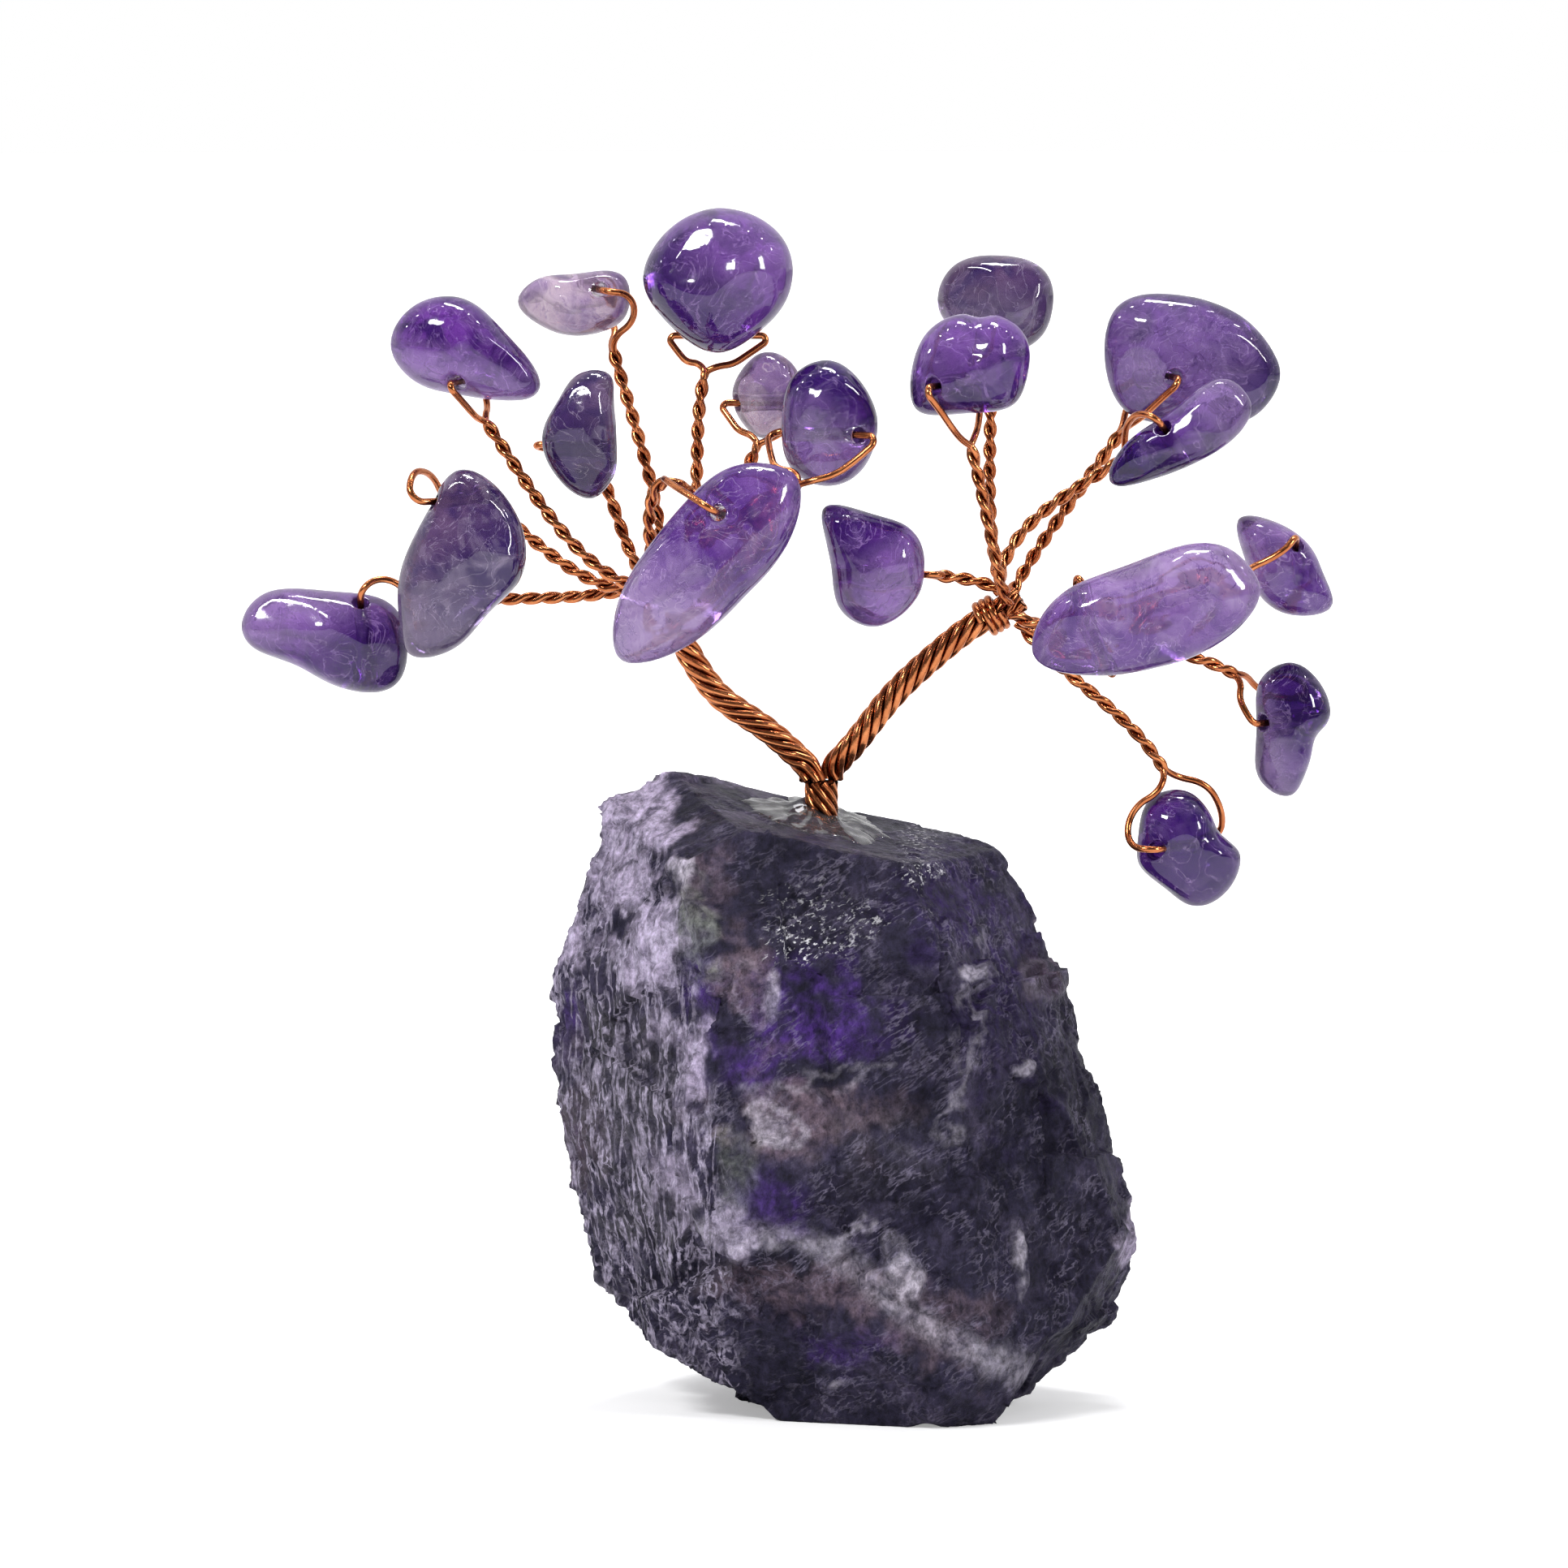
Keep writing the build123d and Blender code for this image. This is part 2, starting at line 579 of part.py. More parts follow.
def hole_mouths(bead):
    """Where the wire comes clear of the two mouths of the drilled hole."""
    centre = bead_spot(bead, bead["hole_shares"])
    way = hole_way(bead)
    longest = bead["length"] + bead["width"] + bead["thickness"]
    drill = Plane(origin=centre, z_dir=way) * Cylinder(HOLE_DIAMETER / 2, longest)
    core = pebble(bead) & drill
    box = Plane(origin=centre, z_dir=way).to_local_coords(core).bounding_box()
    return centre + way * (box.max.Z + MOUTH_DISTANCE), centre + way * (box.min.Z - MOUTH_DISTANCE)


def root_order(side):
    """The twigs of a fork in the order in which they stand round the branch."""
    edge, fork, end_way = branch_line(side)
    across = (FORWARD - end_way * FORWARD.dot(end_way)).normalized()
    other = end_way.cross(across)
    angles = []
    for name, bead in BEADS.items():
        if bead["branch"] == side:
            reach = bead_spot(bead, bead["fork_shares"]) - fork
            angles.append((math.atan2(reach.dot(other), reach.dot(across)), name))
    angles.sort()
    return angles, across, other


def twig_root(name):
    """Where a twig starts, beside the branch, and the way it leaves."""
    bead = BEADS[name]
    edge, fork, end_way = branch_line(bead["branch"])
    angles, across, other = root_order(bead["branch"])
    count = len(angles)
    drift_x = sum(math.cos(angle - 2 * math.pi * n / count) for n, (angle, _) in enumerate(angles))
    drift_y = sum(math.sin(angle - 2 * math.pi * n / count) for n, (angle, _) in enumerate(angles))
    slot = [other_name for _, other_name in angles].index(name)
    angle = 2 * math.pi * slot / count + math.atan2(drift_y, drift_x)
    outward = across * math.cos(angle) + other * math.sin(angle)
    side_by_side = (TWIG_REACH + STRAND_GAP) / math.sin(math.pi / count)
    radius = max(side_by_side, BRANCH_REACH + TWIG_SEAT_GAP + TWIG_REACH)
    root = fork + outward * radius
    fork_place = bead_spot(bead, bead["fork_shares"])
    way = (fork_place - root).normalized() + outward * FLARE_SHARE
    return root, way.normalized()


def twig(name):
    """One wire: twisted up from the branch, through the bead, and back down on itself."""
    bead = BEADS[name]
    root, root_way = twig_root(name)
    fork = bead_spot(bead, bead["fork_shares"])
    front, rear = hole_mouths(bead)
    middle = (front + rear) / 2
    fork_way = ((middle - fork).normalized() + (fork - root).normalized()).normalized()
    handle = (fork - root).length * HANDLE_SHARE
    edge = Edge.make_bezier(root, root + root_way * handle, fork - fork_way * handle, fork)
    parting = front - rear
    parting = (parting - fork_way * parting.dot(fork_way)).normalized()
    turns = edge.length / TWIG_PITCH
    line = CentreLine(edge, root_way.cross(UP).normalized())
    side = line.sides[-1]
    end_angle = math.atan2(parting.dot(fork_way.cross(side)), parting.dot(side))
    start_angle = end_angle + 2 * math.pi * turns
    up_strand = strand_stations(line, TWIG_RADIUS, turns, start_angle, TWIG_STATIONS_PER_TURN)
    half_turn = start_angle + math.pi
    down_strand = strand_stations(line, TWIG_RADIUS, turns, half_turn, TWIG_STATIONS_PER_TURN)
    up_strand[-1] = part_from(up_strand[-1], parting)
    down_strand[-1] = part_from(down_strand[-1], parting * -1)
    hole = hole_way(bead)
    front_leg = up_strand + [knee(bead, "front", up_strand[-1], front)]
    rear_leg = down_strand + [knee(bead, "rear", down_strand[-1], rear)]
    stations = front_leg + [(front, hole * -1), (rear, hole * -1)]
    stations += [turned(station) for station in reversed(rear_leg)]
    return wire_through(stations)


def turned(station):
    """The same station passed in the other direction."""
    spot, way = station
    return spot, way * -1


def part_from(station, parting):
    """The last station of a strand, bent away from the other strand."""
    spot, way = station
    return spot, (way + parting * PARTING_SHARE).normalized()


def knee(bead, end, strand_end, mouth):
    """Where a leg of the loop bows out, clear of the stone, on its way to a mouth of the hole."""
    start, start_way = strand_end
    way = (mouth - start).normalized()
    shares = bead.get(end + "_knee_shares")
    if shares:
        return bead_spot(bead, shares), way
    middle = (start + mouth) / 2
    outward = middle - bead_spot(bead, bead["hole_shares"])
    outward = outward - way * outward.dot(way)
    return middle + outward.normalized() * KNEE_DISTANCE, way


def main():
    os.makedirs("parts", exist_ok=True)
    export_step(rock_base(), "parts/rock_base.step")
    export_step(glue_collar(), "parts/glue_collar.step")
    export_step(trunk(), "parts/trunk.step")
    for side in ("left", "right"):
        export_step(branch(side), f"parts/{side}_branch.step")
        export_step(wrap(side), f"parts/{side}_wrap.step")
    for name, bead in BEADS.items():
        export_step(bead_solid(bead), f"parts/{name}_bead.step")
        export_step(twig(name), f"parts/{name}_twig.step")


if __name__ == "__main__":
    main()
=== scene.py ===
import math
import random

import bpy
import numpy as np
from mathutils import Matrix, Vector, noise
from mathutils.bvhtree import BVHTree

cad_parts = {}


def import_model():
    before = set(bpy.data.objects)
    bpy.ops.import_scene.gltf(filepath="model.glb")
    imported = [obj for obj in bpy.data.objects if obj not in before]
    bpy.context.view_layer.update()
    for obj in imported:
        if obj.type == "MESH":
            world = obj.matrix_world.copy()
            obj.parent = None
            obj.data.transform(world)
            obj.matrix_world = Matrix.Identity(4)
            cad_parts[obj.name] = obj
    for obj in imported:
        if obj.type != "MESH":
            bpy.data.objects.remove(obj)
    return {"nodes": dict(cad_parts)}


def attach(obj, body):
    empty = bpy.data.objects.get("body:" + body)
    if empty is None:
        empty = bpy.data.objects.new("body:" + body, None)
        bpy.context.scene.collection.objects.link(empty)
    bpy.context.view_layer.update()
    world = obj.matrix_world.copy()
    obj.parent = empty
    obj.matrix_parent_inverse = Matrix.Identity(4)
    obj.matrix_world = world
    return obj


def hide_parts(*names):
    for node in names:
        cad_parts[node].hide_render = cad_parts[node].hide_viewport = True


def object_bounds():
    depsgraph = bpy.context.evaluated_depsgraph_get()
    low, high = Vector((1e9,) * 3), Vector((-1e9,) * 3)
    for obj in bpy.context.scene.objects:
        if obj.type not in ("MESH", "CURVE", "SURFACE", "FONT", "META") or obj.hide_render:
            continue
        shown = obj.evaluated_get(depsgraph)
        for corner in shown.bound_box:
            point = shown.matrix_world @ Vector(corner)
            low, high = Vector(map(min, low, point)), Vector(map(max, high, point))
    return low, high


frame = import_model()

CAD_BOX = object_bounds()
MM = 0.001

# The photograph's frame: a square picture, with the trunk's axis and the floor at one pixel
PHOTO_SIDE = 1932
PIXELS_PER_MM = 17.5
AXIS_COLUMN = 1012
FLOOR_ROW = 1732
CAMERA_ELEVATION = math.radians(6)
CAMERA_DISTANCE = 0.9
CAMERA_CLIP = (0.01, 20)
SENSOR_WIDTH = 0.036

# Mesh fineness
BEAD_GRAIN = 0.18 * MM
ROCK_GRAIN = 0.26 * MM

# How much fuller the wires are than their CAD shapes, so that no light shows between turns
TWIG_SWELL = 0.035 * MM
BUNDLE_SWELL = 0.08 * MM

# Stones: the slot, then the sides (right, away and up) where the stone is palest and darkest, how far each
# goes, and how cloudy it is. Lengths are millimetres from the stone's middle.
# Grooves run from the middle one way, as (across, up, turn in degrees, depth, width).
# Pulls shift the outline, as (across, up, reach, shift right, shift up).
BEADS = {
    "left_teardrop": dict(slot="violet_stone", pale=(-0.4, -0.2, -0.9), pale_share=0.65,
                          dark=(0.9, -0.1, -0.2), dark_share=0.6, cloud_share=0.3,
                          pulls=((4.2, -2.6, 2.4, 1.1, -0.1),)),
    "left_pale": dict(slot="pale_stone", pale=(-0.4, -0.5, -0.4), pale_share=0.4, dark=(0.8, 0.2, 0.6),
                      dark_share=0.5, cloud_share=0.5),
    "left_round": dict(slot="violet_stone", pale=(0.45, -0.5, 0.7), pale_share=0.25, dark=(-0.6, -0.6, -0.4),
                       dark_share=1.0, cloud_share=0.15),
    "left_dark": dict(slot="smoky_stone", pale=(0.9, -0.1, 0.5), pale_share=0.1, dark=(-0.5, -0.9, -0.3),
                      dark_share=0.9, cloud_share=0.1, pulls=(
                          (2.9, 2.5, 1.9, -0.9, 0.1), (1.1, -1.6, 2.0, 1.1, -0.1),
                          (-0.3, -4.2, 1.9, 0.7, -0.5))),
    "left_smoky": dict(slot="smoky_stone", pale=(-0.5, -0.1, -1.0), pale_share=0.3, dark=(0.6, -0.7, -0.5),
                       dark_share=1.0, cloud_share=0.6, pulls=(
                           (2.8, -1.3, 2.3, 1.2, 0.0), (-4.4, -4.7, 2.5, 0.6, -0.2))),
    "left_end": dict(slot="violet_stone", pale=(-0.6, -0.1, 0.9), pale_share=0.55, dark=(0.7, -0.7, -0.2),
                     dark_share=1.0, cloud_share=0.2, pulls=((-5.3, 1.0, 2.6, -0.8, 0.0),)),
    "left_small": dict(slot="pale_stone", pale=(-0.3, -0.4, -0.9), pale_share=0.3, dark=(0.1, -0.3, 0.9),
                       dark_share=1.0, cloud_share=0.3),
    "left_deep": dict(slot="deep_stone", pale=(-0.2, -0.6, -0.7), pale_share=0.5, dark=(0.1, -0.3, 1.0),
                      dark_share=1.0, cloud_share=0.25),
    "left_long": dict(slot="lilac_stone", pale=(-0.5, -0.2, -0.9), pale_share=0.5, dark=(-0.5, -0.5, 0.5),
                      dark_share=0.9, cloud_share=0.35),
    "right_top": dict(slot="smoky_stone", pale=(-0.3, -0.5, -0.4), pale_share=0.3, dark=(0.6, -0.6, -0.5),
                      dark_share=0.6, cloud_share=0.4),
    "right_heart": dict(slot="violet_stone", pale=(-0.3, -0.5, 0.6), pale_share=0.2, dark=(-0.2, -0.6, -0.5),
                        dark_share=0.6, cloud_share=0.35, grooves=((0.0, 0.0, 80.0, 0.4, 0.9),)),
    "right_triangle": dict(slot="deep_stone", pale=(-0.2, -0.9, 0.1), pale_share=0.35, dark=(0.9, -0.2, -0.4),
                           dark_share=0.9, cloud_share=0.35),
    "right_splinter": dict(slot="deep_stone", pale=(0.8, -0.2, 0.6), pale_share=0.5, dark=(-0.8, -0.2, -0.6),
                           dark_share=1.0, cloud_share=0.3, pulls=((-4.2, -3.0, 1.8, -0.5, -0.1),)),
    "right_beak": dict(slot="violet_stone", pale=(0.5, -0.4, -0.5), pale_share=0.5, dark=(-0.4, -0.2, 1.0),
                       dark_share=1.0, cloud_share=0.3),
    "right_long": dict(slot="lilac_stone", pale=(0.1, -0.3, 1.0), pale_share=0.45, dark=(0.0, -0.3, -1.0),
                       dark_share=0.5, cloud_share=0.45),
    "right_wedge": dict(slot="lilac_stone", pale=(-0.7, -0.3, 0.2), pale_share=0.2, dark=(0.5, -0.7, -0.5),
                        dark_share=0.9, cloud_share=0.3, pulls=((2.7, -2.7, 1.5, 0.6, -0.1),)),
    "right_drop": dict(slot="deep_stone", pale=(-0.9, -0.1, -0.5), pale_share=0.6, dark=(0.4, -0.8, 0.5),
                       dark_share=0.9, cloud_share=0.2, grooves=((0.0, -1.0, 8.0, 0.3, 0.9),)),
    "right_low": dict(slot="deep_stone", pale=(0.4, -0.4, -0.7), pale_share=0.05, dark=(0.1, -1.0, -0.2),
                      dark_share=0.9, cloud_share=0.15, grooves=((0.3, 0.3, 30.0, 0.2, 0.8),),
                      pulls=((-2.2, -0.9, 1.9, -1.0, -0.2),)),
}
# Flats rubbed on the stones: how many, how far they lean, where they start as shares of the stone's reach,
# and how much of what stands over them is taken off
FLAT_COUNT = 6
FLAT_LEAN = 0.45
FLAT_START_SHARES = (0.84, 0.95)
FLAT_RUB_SHARE = 0.8
# Dents of two sizes, as (size, depth), the step between one stone's dents and the next's,
# and how much of a dent the outline and the broad sides get
DENTS = ((3.4 * MM, 0.32 * MM), (1.5 * MM, 0.07 * MM))
DENT_LEAD = (4.3, 2.9, 1.7)
DENT_OUTLINE_SHARE = 0.3
DENT_BROAD_SHARE = 0.7
# Where the pale and dark zones start, and over how much of the stone they grow, as shares of its half size
ZONE_START_SHARE = 0.05
ZONE_GROWTH_SHARE = 0.7
# Smoothing of the meshes: strength and rounds
BEAD_SOFTENING = (0.5, 6)
ROCK_SOFTENING = (0.5, 2)

# Light
FILL_LIGHT = (0.45, 0.45, 0.45)
BACKDROP_SPREAD = (-0.4, 0.45)
BACKDROP_LIGHT = (0.14, 1.0)
LAMP_TARGET = (0, 0, 0.05)
SOFT_BOXES = {
    "key": ((-0.35, -0.5, 0.55), (0.26, 0.09), 4.0),
    "fill": ((0.55, -0.35, 0.3), (0.08, 0.24), 2.0),
    "top": ((0.05, 0.1, 0.7), (0.28, 0.08), 2.5),
}
# Small lamps in an arch over the tree
SPARK_ANGLES = (-58, -42, -26, -10, 6, 22, 38, 54)
SPARK_ARCH = 0.75
SPARK_SIZE = 0.024
SPARK_POWER = 0.18

# Colours as linear shares of red, green and blue
STONE_TONES = {
    "violet_stone": dict(deep=(0.030, 0.005, 0.105), mid=(0.140, 0.034, 0.300),
                         pale=(0.45, 0.29, 0.62), clear=0.6),
    "deep_stone": dict(deep=(0.020, 0.003, 0.090), mid=(0.108, 0.024, 0.255),
                       pale=(0.44, 0.31, 0.58), clear=0.6),
    "lilac_stone": dict(deep=(0.085, 0.025, 0.215), mid=(0.240, 0.110, 0.400),
                        pale=(0.56, 0.43, 0.66), clear=0.6),
    "pale_stone": dict(deep=(0.200, 0.105, 0.320), mid=(0.550, 0.410, 0.540),
                       pale=(0.80, 0.70, 0.76), clear=0.7),
    "smoky_stone": dict(deep=(0.034, 0.014, 0.100), mid=(0.122, 0.064, 0.158),
                        pale=(0.40, 0.33, 0.46), clear=0.55),
}
# Polished stone: sizes of its patterns, then its finish
STONE_ZONE_GRAIN = 3.6 * MM
STONE_CLOUD_GRAIN = 2.4 * MM
STONE_VEIL_GRAIN = 3.2 * MM
STONE_WISP_GRAIN = 2.1 * MM
STONE_WEAR_GRAIN = 1.1 * MM
STONE_RIPPLE_GRAIN = 1.6 * MM
STONE_RIPPLE_DEPTH = 0.14 * MM
STONE_ROUGHNESS = (0.03, 0.11)
STONE_SHINE = 0.36
VEIL_TONE = (0.55, 0.55, 0.55)
BLACK = (0, 0, 0)
QUARTZ_IOR = 1.544
# Copper wire
COPPER_PATCH_GRAIN = 2.6 * MM
COPPER_FINE_GRAIN = 0.5 * MM
# Reach of the ambient occlusion that paints shade into the grooves between turns
COPPER_SHADE_REACH = 0.5 * MM
COPPER_BUMP_DEPTH = 0.03 * MM
COPPER_ROUGHNESS = (0.14, 0.30)
# Colour of the painted shade in the grooves, then the copper's dull and bright tones
COPPER_PAINTED_SHADE = (0.10, 0.022, 0.008)
COPPER_DULL = (0.34, 0.090, 0.030)
COPPER_BRIGHT = (0.66, 0.24, 0.095)

# Rock. Lengths here are in millimetres. Flat breaks of several sizes, as (size, slope), and grit on them
ROCK_BREAKS = ((11.0, 0.10), (4.2, 0.10), (1.7, 0.08))
BREAK_LEAD = 5.3
HALVES = (0.5, 0.5, 0.5)
ROCK_GRIT = 0.13
ROCK_GRIT_SIZE = 1.1
# Upright stripes on the left face: height, then width, length into the face and length up it
ROCK_STRIPE = 0.42
ROCK_STRIPE_WIDTH = 1.1
ROCK_STRIPE_DEEP = 9
ROCK_STRIPE_LENGTH = 10
# A step across the front: half its height, where it is, how softly it turns and how it wanders
ROCK_STEP = 0.4
ROCK_STEP_HEIGHT = 32.4
ROCK_STEP_SOFT = 0.3
ROCK_STEP_WANDER = 0.9
ROCK_STEP_WANDER_SIZE = 3
ROCK_STEP_LEAD = 7
# The height over the floor, and the distances from the trunk, over which the breaks fade in
ROCK_FOOT = 1.2
ROCK_SOCKET = (3.0, 16.0)
# Wandering noise: how fast finer sizes fade, the step between sizes, and how many sizes there are
ROUGH_NOISE = (0.7, 2.0, 3)
SMOOTH_NOISE = (0.8, 2.0, 3)
EDGE_NOISE = (0.6, 2.2, 3)
# How far a face turns from the front, as the away part of its normal, where each detail comes and goes
LEFT_FACING = (0.3, -0.1)
FRONT_FACING = (0.25, -0.15)
STEP_FACING = (-0.5, -0.8)
CHIP_FACING = -0.2
# The dip of the top round the trunk, and the toe at the lower right: place, reach and size
DIP_PLACE = (0.0, -8.0)
DIP_REACH = (26.0, 18.0)
DIP_DEPTH = 1.3
DIP_TOP = 35.0
DIP_FADE = 4
DIP_FLAT_SHARE = 0.1
TOE_PLACE = (11.0, -8.5, 0.5)
TOE_REACH = 7.5
TOE_SIZE = 2.6
# The rib between the left face and the front, as (right, up), with its softness and how it wanders
ROCK_RIB = ((-11.6, 45.0), (-11.0, 37.6), (-8.6, 28.5), (-7.6, 22.4), (-6.8, 16.3), (-6.0, 8.0))
RIB_SOFT = 1.0
RIB_WANDER = 1.3
RIB_WANDER_SIZE = 1.8
# Coloured zones seen on the front, as (right, up, half width, half height, strength)
ROCK_ZONES = {
    "purple": ((-1.0, 28.9, 6.6, 4.0, 1.0), (-5.0, 25.6, 3.2, 2.4, 0.9), (-3.8, 16.0, 3.2, 2.8, 0.7),
               (13.0, 30.0, 4.0, 8.0, 0.35), (8.0, 37.0, 5.0, 4.0, 0.4), (-8.8, 31.6, 1.8, 4.0, 0.8),
               (-17.6, 27.0, 1.2, 4.0, 0.7), (1.5, 5.5, 3.5, 2.0, 0.5)),
    "mauve": ((-1.3, 22.4, 7.0, 3.2, 0.9), (-5.6, 31.8, 2.0, 4.4, 0.9), (15.5, 30.4, 1.9, 1.9, 0.8),
              (0.0, 9.8, 6.5, 2.6, 0.75), (8.5, 7.5, 4.5, 3.0, 0.6), (-8.0, 39.0, 2.2, 3.4, 0.6),
              (-16.8, 20.0, 2.0, 5.0, 0.6)),
    "grey": ((-14.0, 24.0, 5.0, 8.0, 0.8), (-11.5, 15.5, 5.0, 4.5, 0.8), (4.0, 19.5, 5.0, 3.0, 0.5)),
    "green": ((-9.0, 35.2, 1.9, 3.8, 0.75), (-6.0, 19.0, 1.6, 5.0, 0.35)),
    "black": ((1.6, 37.4, 8.6, 4.0, 0.9), (3.6, 16.4, 5.2, 3.6, 0.9), (8.0, 27.0, 5.0, 6.0, 0.8),
              (15.0, 22.0, 7.0, 12.0, 0.9), (18.0, 12.0, 6.0, 8.0, 0.8)),
    "lilac": ((-12.8, 42.6, 3.0, 2.8, 1.0), (-14.0, 38.6, 3.0, 4.6, 0.85), (-11.8, 34.2, 1.8, 5.6, 0.9),
              (-17.8, 33.6, 1.6, 3.2, 1.0), (-15.4, 41.2, 1.8, 2.4, 0.8), (-9.0, 26.4, 1.0, 3.6, 0.8),
              (22.2, 12.0, 1.2, 3.4, 0.7), (-10.0, 17.8, 2.6, 2.4, 0.55), (-6.4, 14.0, 3.6, 1.6, 0.55)),
    "pale": ((-3.6, 21.7, 1.9, 1.1, 0.55), (5.6, 11.7, 1.3, 2.2, 0.7), (-9.7, 39.8, 0.9, 1.0, 0.8),
             (-3.4, 30.5, 0.6, 1.6, 0.6), (10.1, 31.7, 0.9, 0.6, 0.65), (14.1, 25.1, 0.9, 0.5, 0.45),
             (13.8, 12.0, 0.45, 2.6, 0.7), (0.8, 2.8, 0.9, 0.7, 0.6), (9.5, 21.0, 0.5, 0.9, 0.3)),
    # The glint zones mark where painted highlights go: white strokes in the colour that stand for facets
    # catching the lamps
    "painted_glint": ((-2.0, 34.3, 2.6, 1.6, 1.0), (6.8, 40.2, 1.6, 1.2, 0.8), (1.0, 36.8, 5.0, 2.6, 0.45)),
}
# Chips that stand out on the front, as (right, up, half width, half height, turn in degrees, rise, pale rim)
ROCK_CHIPS = (
    (-3.2, 21.8, 2.3, 1.3, -22.0, 0.35, 0.45), (5.6, 11.7, 1.3, 2.3, 20.0, 0.45, 0.2),
    (15.5, 30.4, 1.7, 1.5, 10.0, 0.4, 0.1), (10.1, 31.7, 0.8, 0.6, 40.0, 0.35, 0.0),
    (13.8, 12.0, 0.5, 2.6, 4.0, 0.45, 0.1), (-9.7, 39.8, 1.1, 1.1, 0.0, 0.35, 0.0),
    (9.6, 21.0, 0.7, 1.0, 30.0, 0.25, 0.0), (-5.0, 30.6, 1.2, 2.4, 14.0, 0.3, 0.1),
    (0.8, 2.8, 1.0, 0.8, 20.0, 0.3, 0.0), (14.1, 25.1, 0.8, 0.6, 0.0, 0.3, 0.0),
)
# Pale lines on the front: places as (right, up), then half width and strength
ROCK_VEINS = (
    (((-8.0, 13.8), (-1.4, 13.5), (1.7, 12.0), (6.2, 8.3), (10.1, 5.9), (13.8, 4.4)), 1.5, 0.4),
    (((11.9, 33.9), (10.4, 29.9), (9.8, 23.8), (8.3, 20.5)), 0.5, 0.22),
    (((-5.0, 24.0), (0.5, 24.4), (5.0, 25.6)), 0.5, 0.25),
    (((1.0, 13.0), (3.2, 15.0)), 0.6, 0.4),
)
# Edges of zones, chips and veins: how they wander, and the shares of their half sizes where they fade
ZONE_WANDER = 0.8
ZONE_WANDER_SIZE = 2.4
ZONE_FADE_SHARES = (0.4, 1.15)
CHIP_WANDER = 0.25
CHIP_WANDER_SIZE = 1.2
CHIP_FADE_SHARES = (1.1, 0.85)
RIM_WANDER = 0.3
RIM_PLACE_SHARE = 0.9
RIM_WIDTH_SHARE = 0.25
RIM_FADE_SHARES = (0.2, 1.0)
VEIN_WANDER = 1.2
VEIN_FADE_SHARES = (0.1, 1.0)
# Blotches of every zone's colour on the faces that the photograph doesn't show
BLOTCH_SIZE = 6.5
BLOTCH_LEAD = 11.0
BLOTCH_SHARE = 0.6
BLOTCH_FADE = (0.3, 0.7)
BACK_FIBRE_SHARE = 0.4
ROCK_TONES = {
    "purple": (0.050, 0.020, 0.140), "mauve": (0.125, 0.088, 0.115), "grey": (0.058, 0.054, 0.066),
    "green": (0.190, 0.205, 0.180), "black": (0.005, 0.004, 0.012), "lilac": (0.470, 0.400, 0.560),
    "pale": (0.520, 0.480, 0.570),
}
ROCK_BODY = ((0.34, (0.009, 0.008, 0.018)), (0.52, (0.020, 0.017, 0.036)), (0.70, (0.045, 0.037, 0.068)))
ROCK_WEB = (0.22, 0.195, 0.28)
ROCK_FIBRE = (0.36, 0.32, 0.43)
# Colour of the painted glints, highlights put into the colour
ROCK_PAINTED_GLINT = (0.86, 0.85, 0.90)
# Sizes of the rock's patterns, how they are drawn out, and its finish
ROCK_BODY_GRAIN = 5 * MM
ROCK_PATCH_GRAIN = 1.6 * MM
ROCK_THIN_GRAIN = 3.2 * MM
ROCK_WEB_GRAIN = 0.7 * MM
ROCK_FIBRE_GRAIN = 1.0 * MM
ROCK_FINE_GRAIN = 0.5 * MM
ROCK_STROKE_GRAIN = 0.5 * MM
ROCK_SHORT_GRAIN = 0.4 * MM
ROCK_BUMP_DEPTH = 0.3 * MM
SLANT_SHARES = (0.3, 1.0, 1.0)
SLANT_TURN = -34
FIBRE_SHARES = (1.0, 1.0, 0.22)
FINE_SHARES = (1.0, 1.0, 0.7)
ROCK_ROUGHNESS = (0.32, 0.65)
ROCK_SHINE = 0.08

# Glue film: reach from the trunk's axis and rise against it
GLUE_INNER = 1.1 * MM
GLUE_REACH = 5.0 * MM
GLUE_RAGGED = 1.7 * MM
GLUE_RISE = 0.7 * MM
GLUE_SKIN = 0.3 * MM
GLUE_SOAK = 0.1 * MM
GLUE_RINGS = 14
GLUE_SPOKES = 96
# How the film's edge and thickness wander
GLUE_EDGE_WAVES = 1.7
GLUE_RIPPLE_SHARE = 0.5
# Its finish
GLUE_MILK_GRAIN = 1.2 * MM
GLUE_BUMP_DEPTH = 0.1 * MM
GLUE_CLEAR = (0.97, 0.96, 0.98)
GLUE_MILKY = (0.88, 0.86, 0.92)
GLUE_ROUGHNESS = (0.03, 0.10)
GLUE_IOR = 1.48
GLUE_CLEARNESS = 0.97

# Floor: a pale disc whose glow for the camera grows between two distances from the trunk
FLOOR_RADIUS = 1.6
FLOOR_SIDES = 96
FLOOR_TONE = (0.86, 0.86, 0.87, 1)
FLOOR_GLOW_SPREAD = (0.06, 0.35)
FLOOR_GLOW = (0.32, 1.0)
FLOOR_ROUGHNESS = 0.9
FLOOR_SHINE = 0.1


def clamp(value, low=0.0, high=1.0):
    return max(low, min(high, value))


def smooth_step(low, high, value):
    """0 below low, 1 above high, and an easy slope between them."""
    share = clamp((value - low) / (high - low))
    return share * share * (3 - 2 * share)


# Nodes of a material

def start_material(name):
    """A new material with its shader, and the tools that build it."""
    material = bpy.data.materials.new(name)
    material.use_nodes = True
    nodes = material.node_tree.nodes
    return material, nodes, material.node_tree.links, nodes["Principled BSDF"]


def place_of(nodes):
    """The spot on the piece, in metres of the object's own frame."""
    return nodes.new("ShaderNodeTexCoord").outputs["Object"]


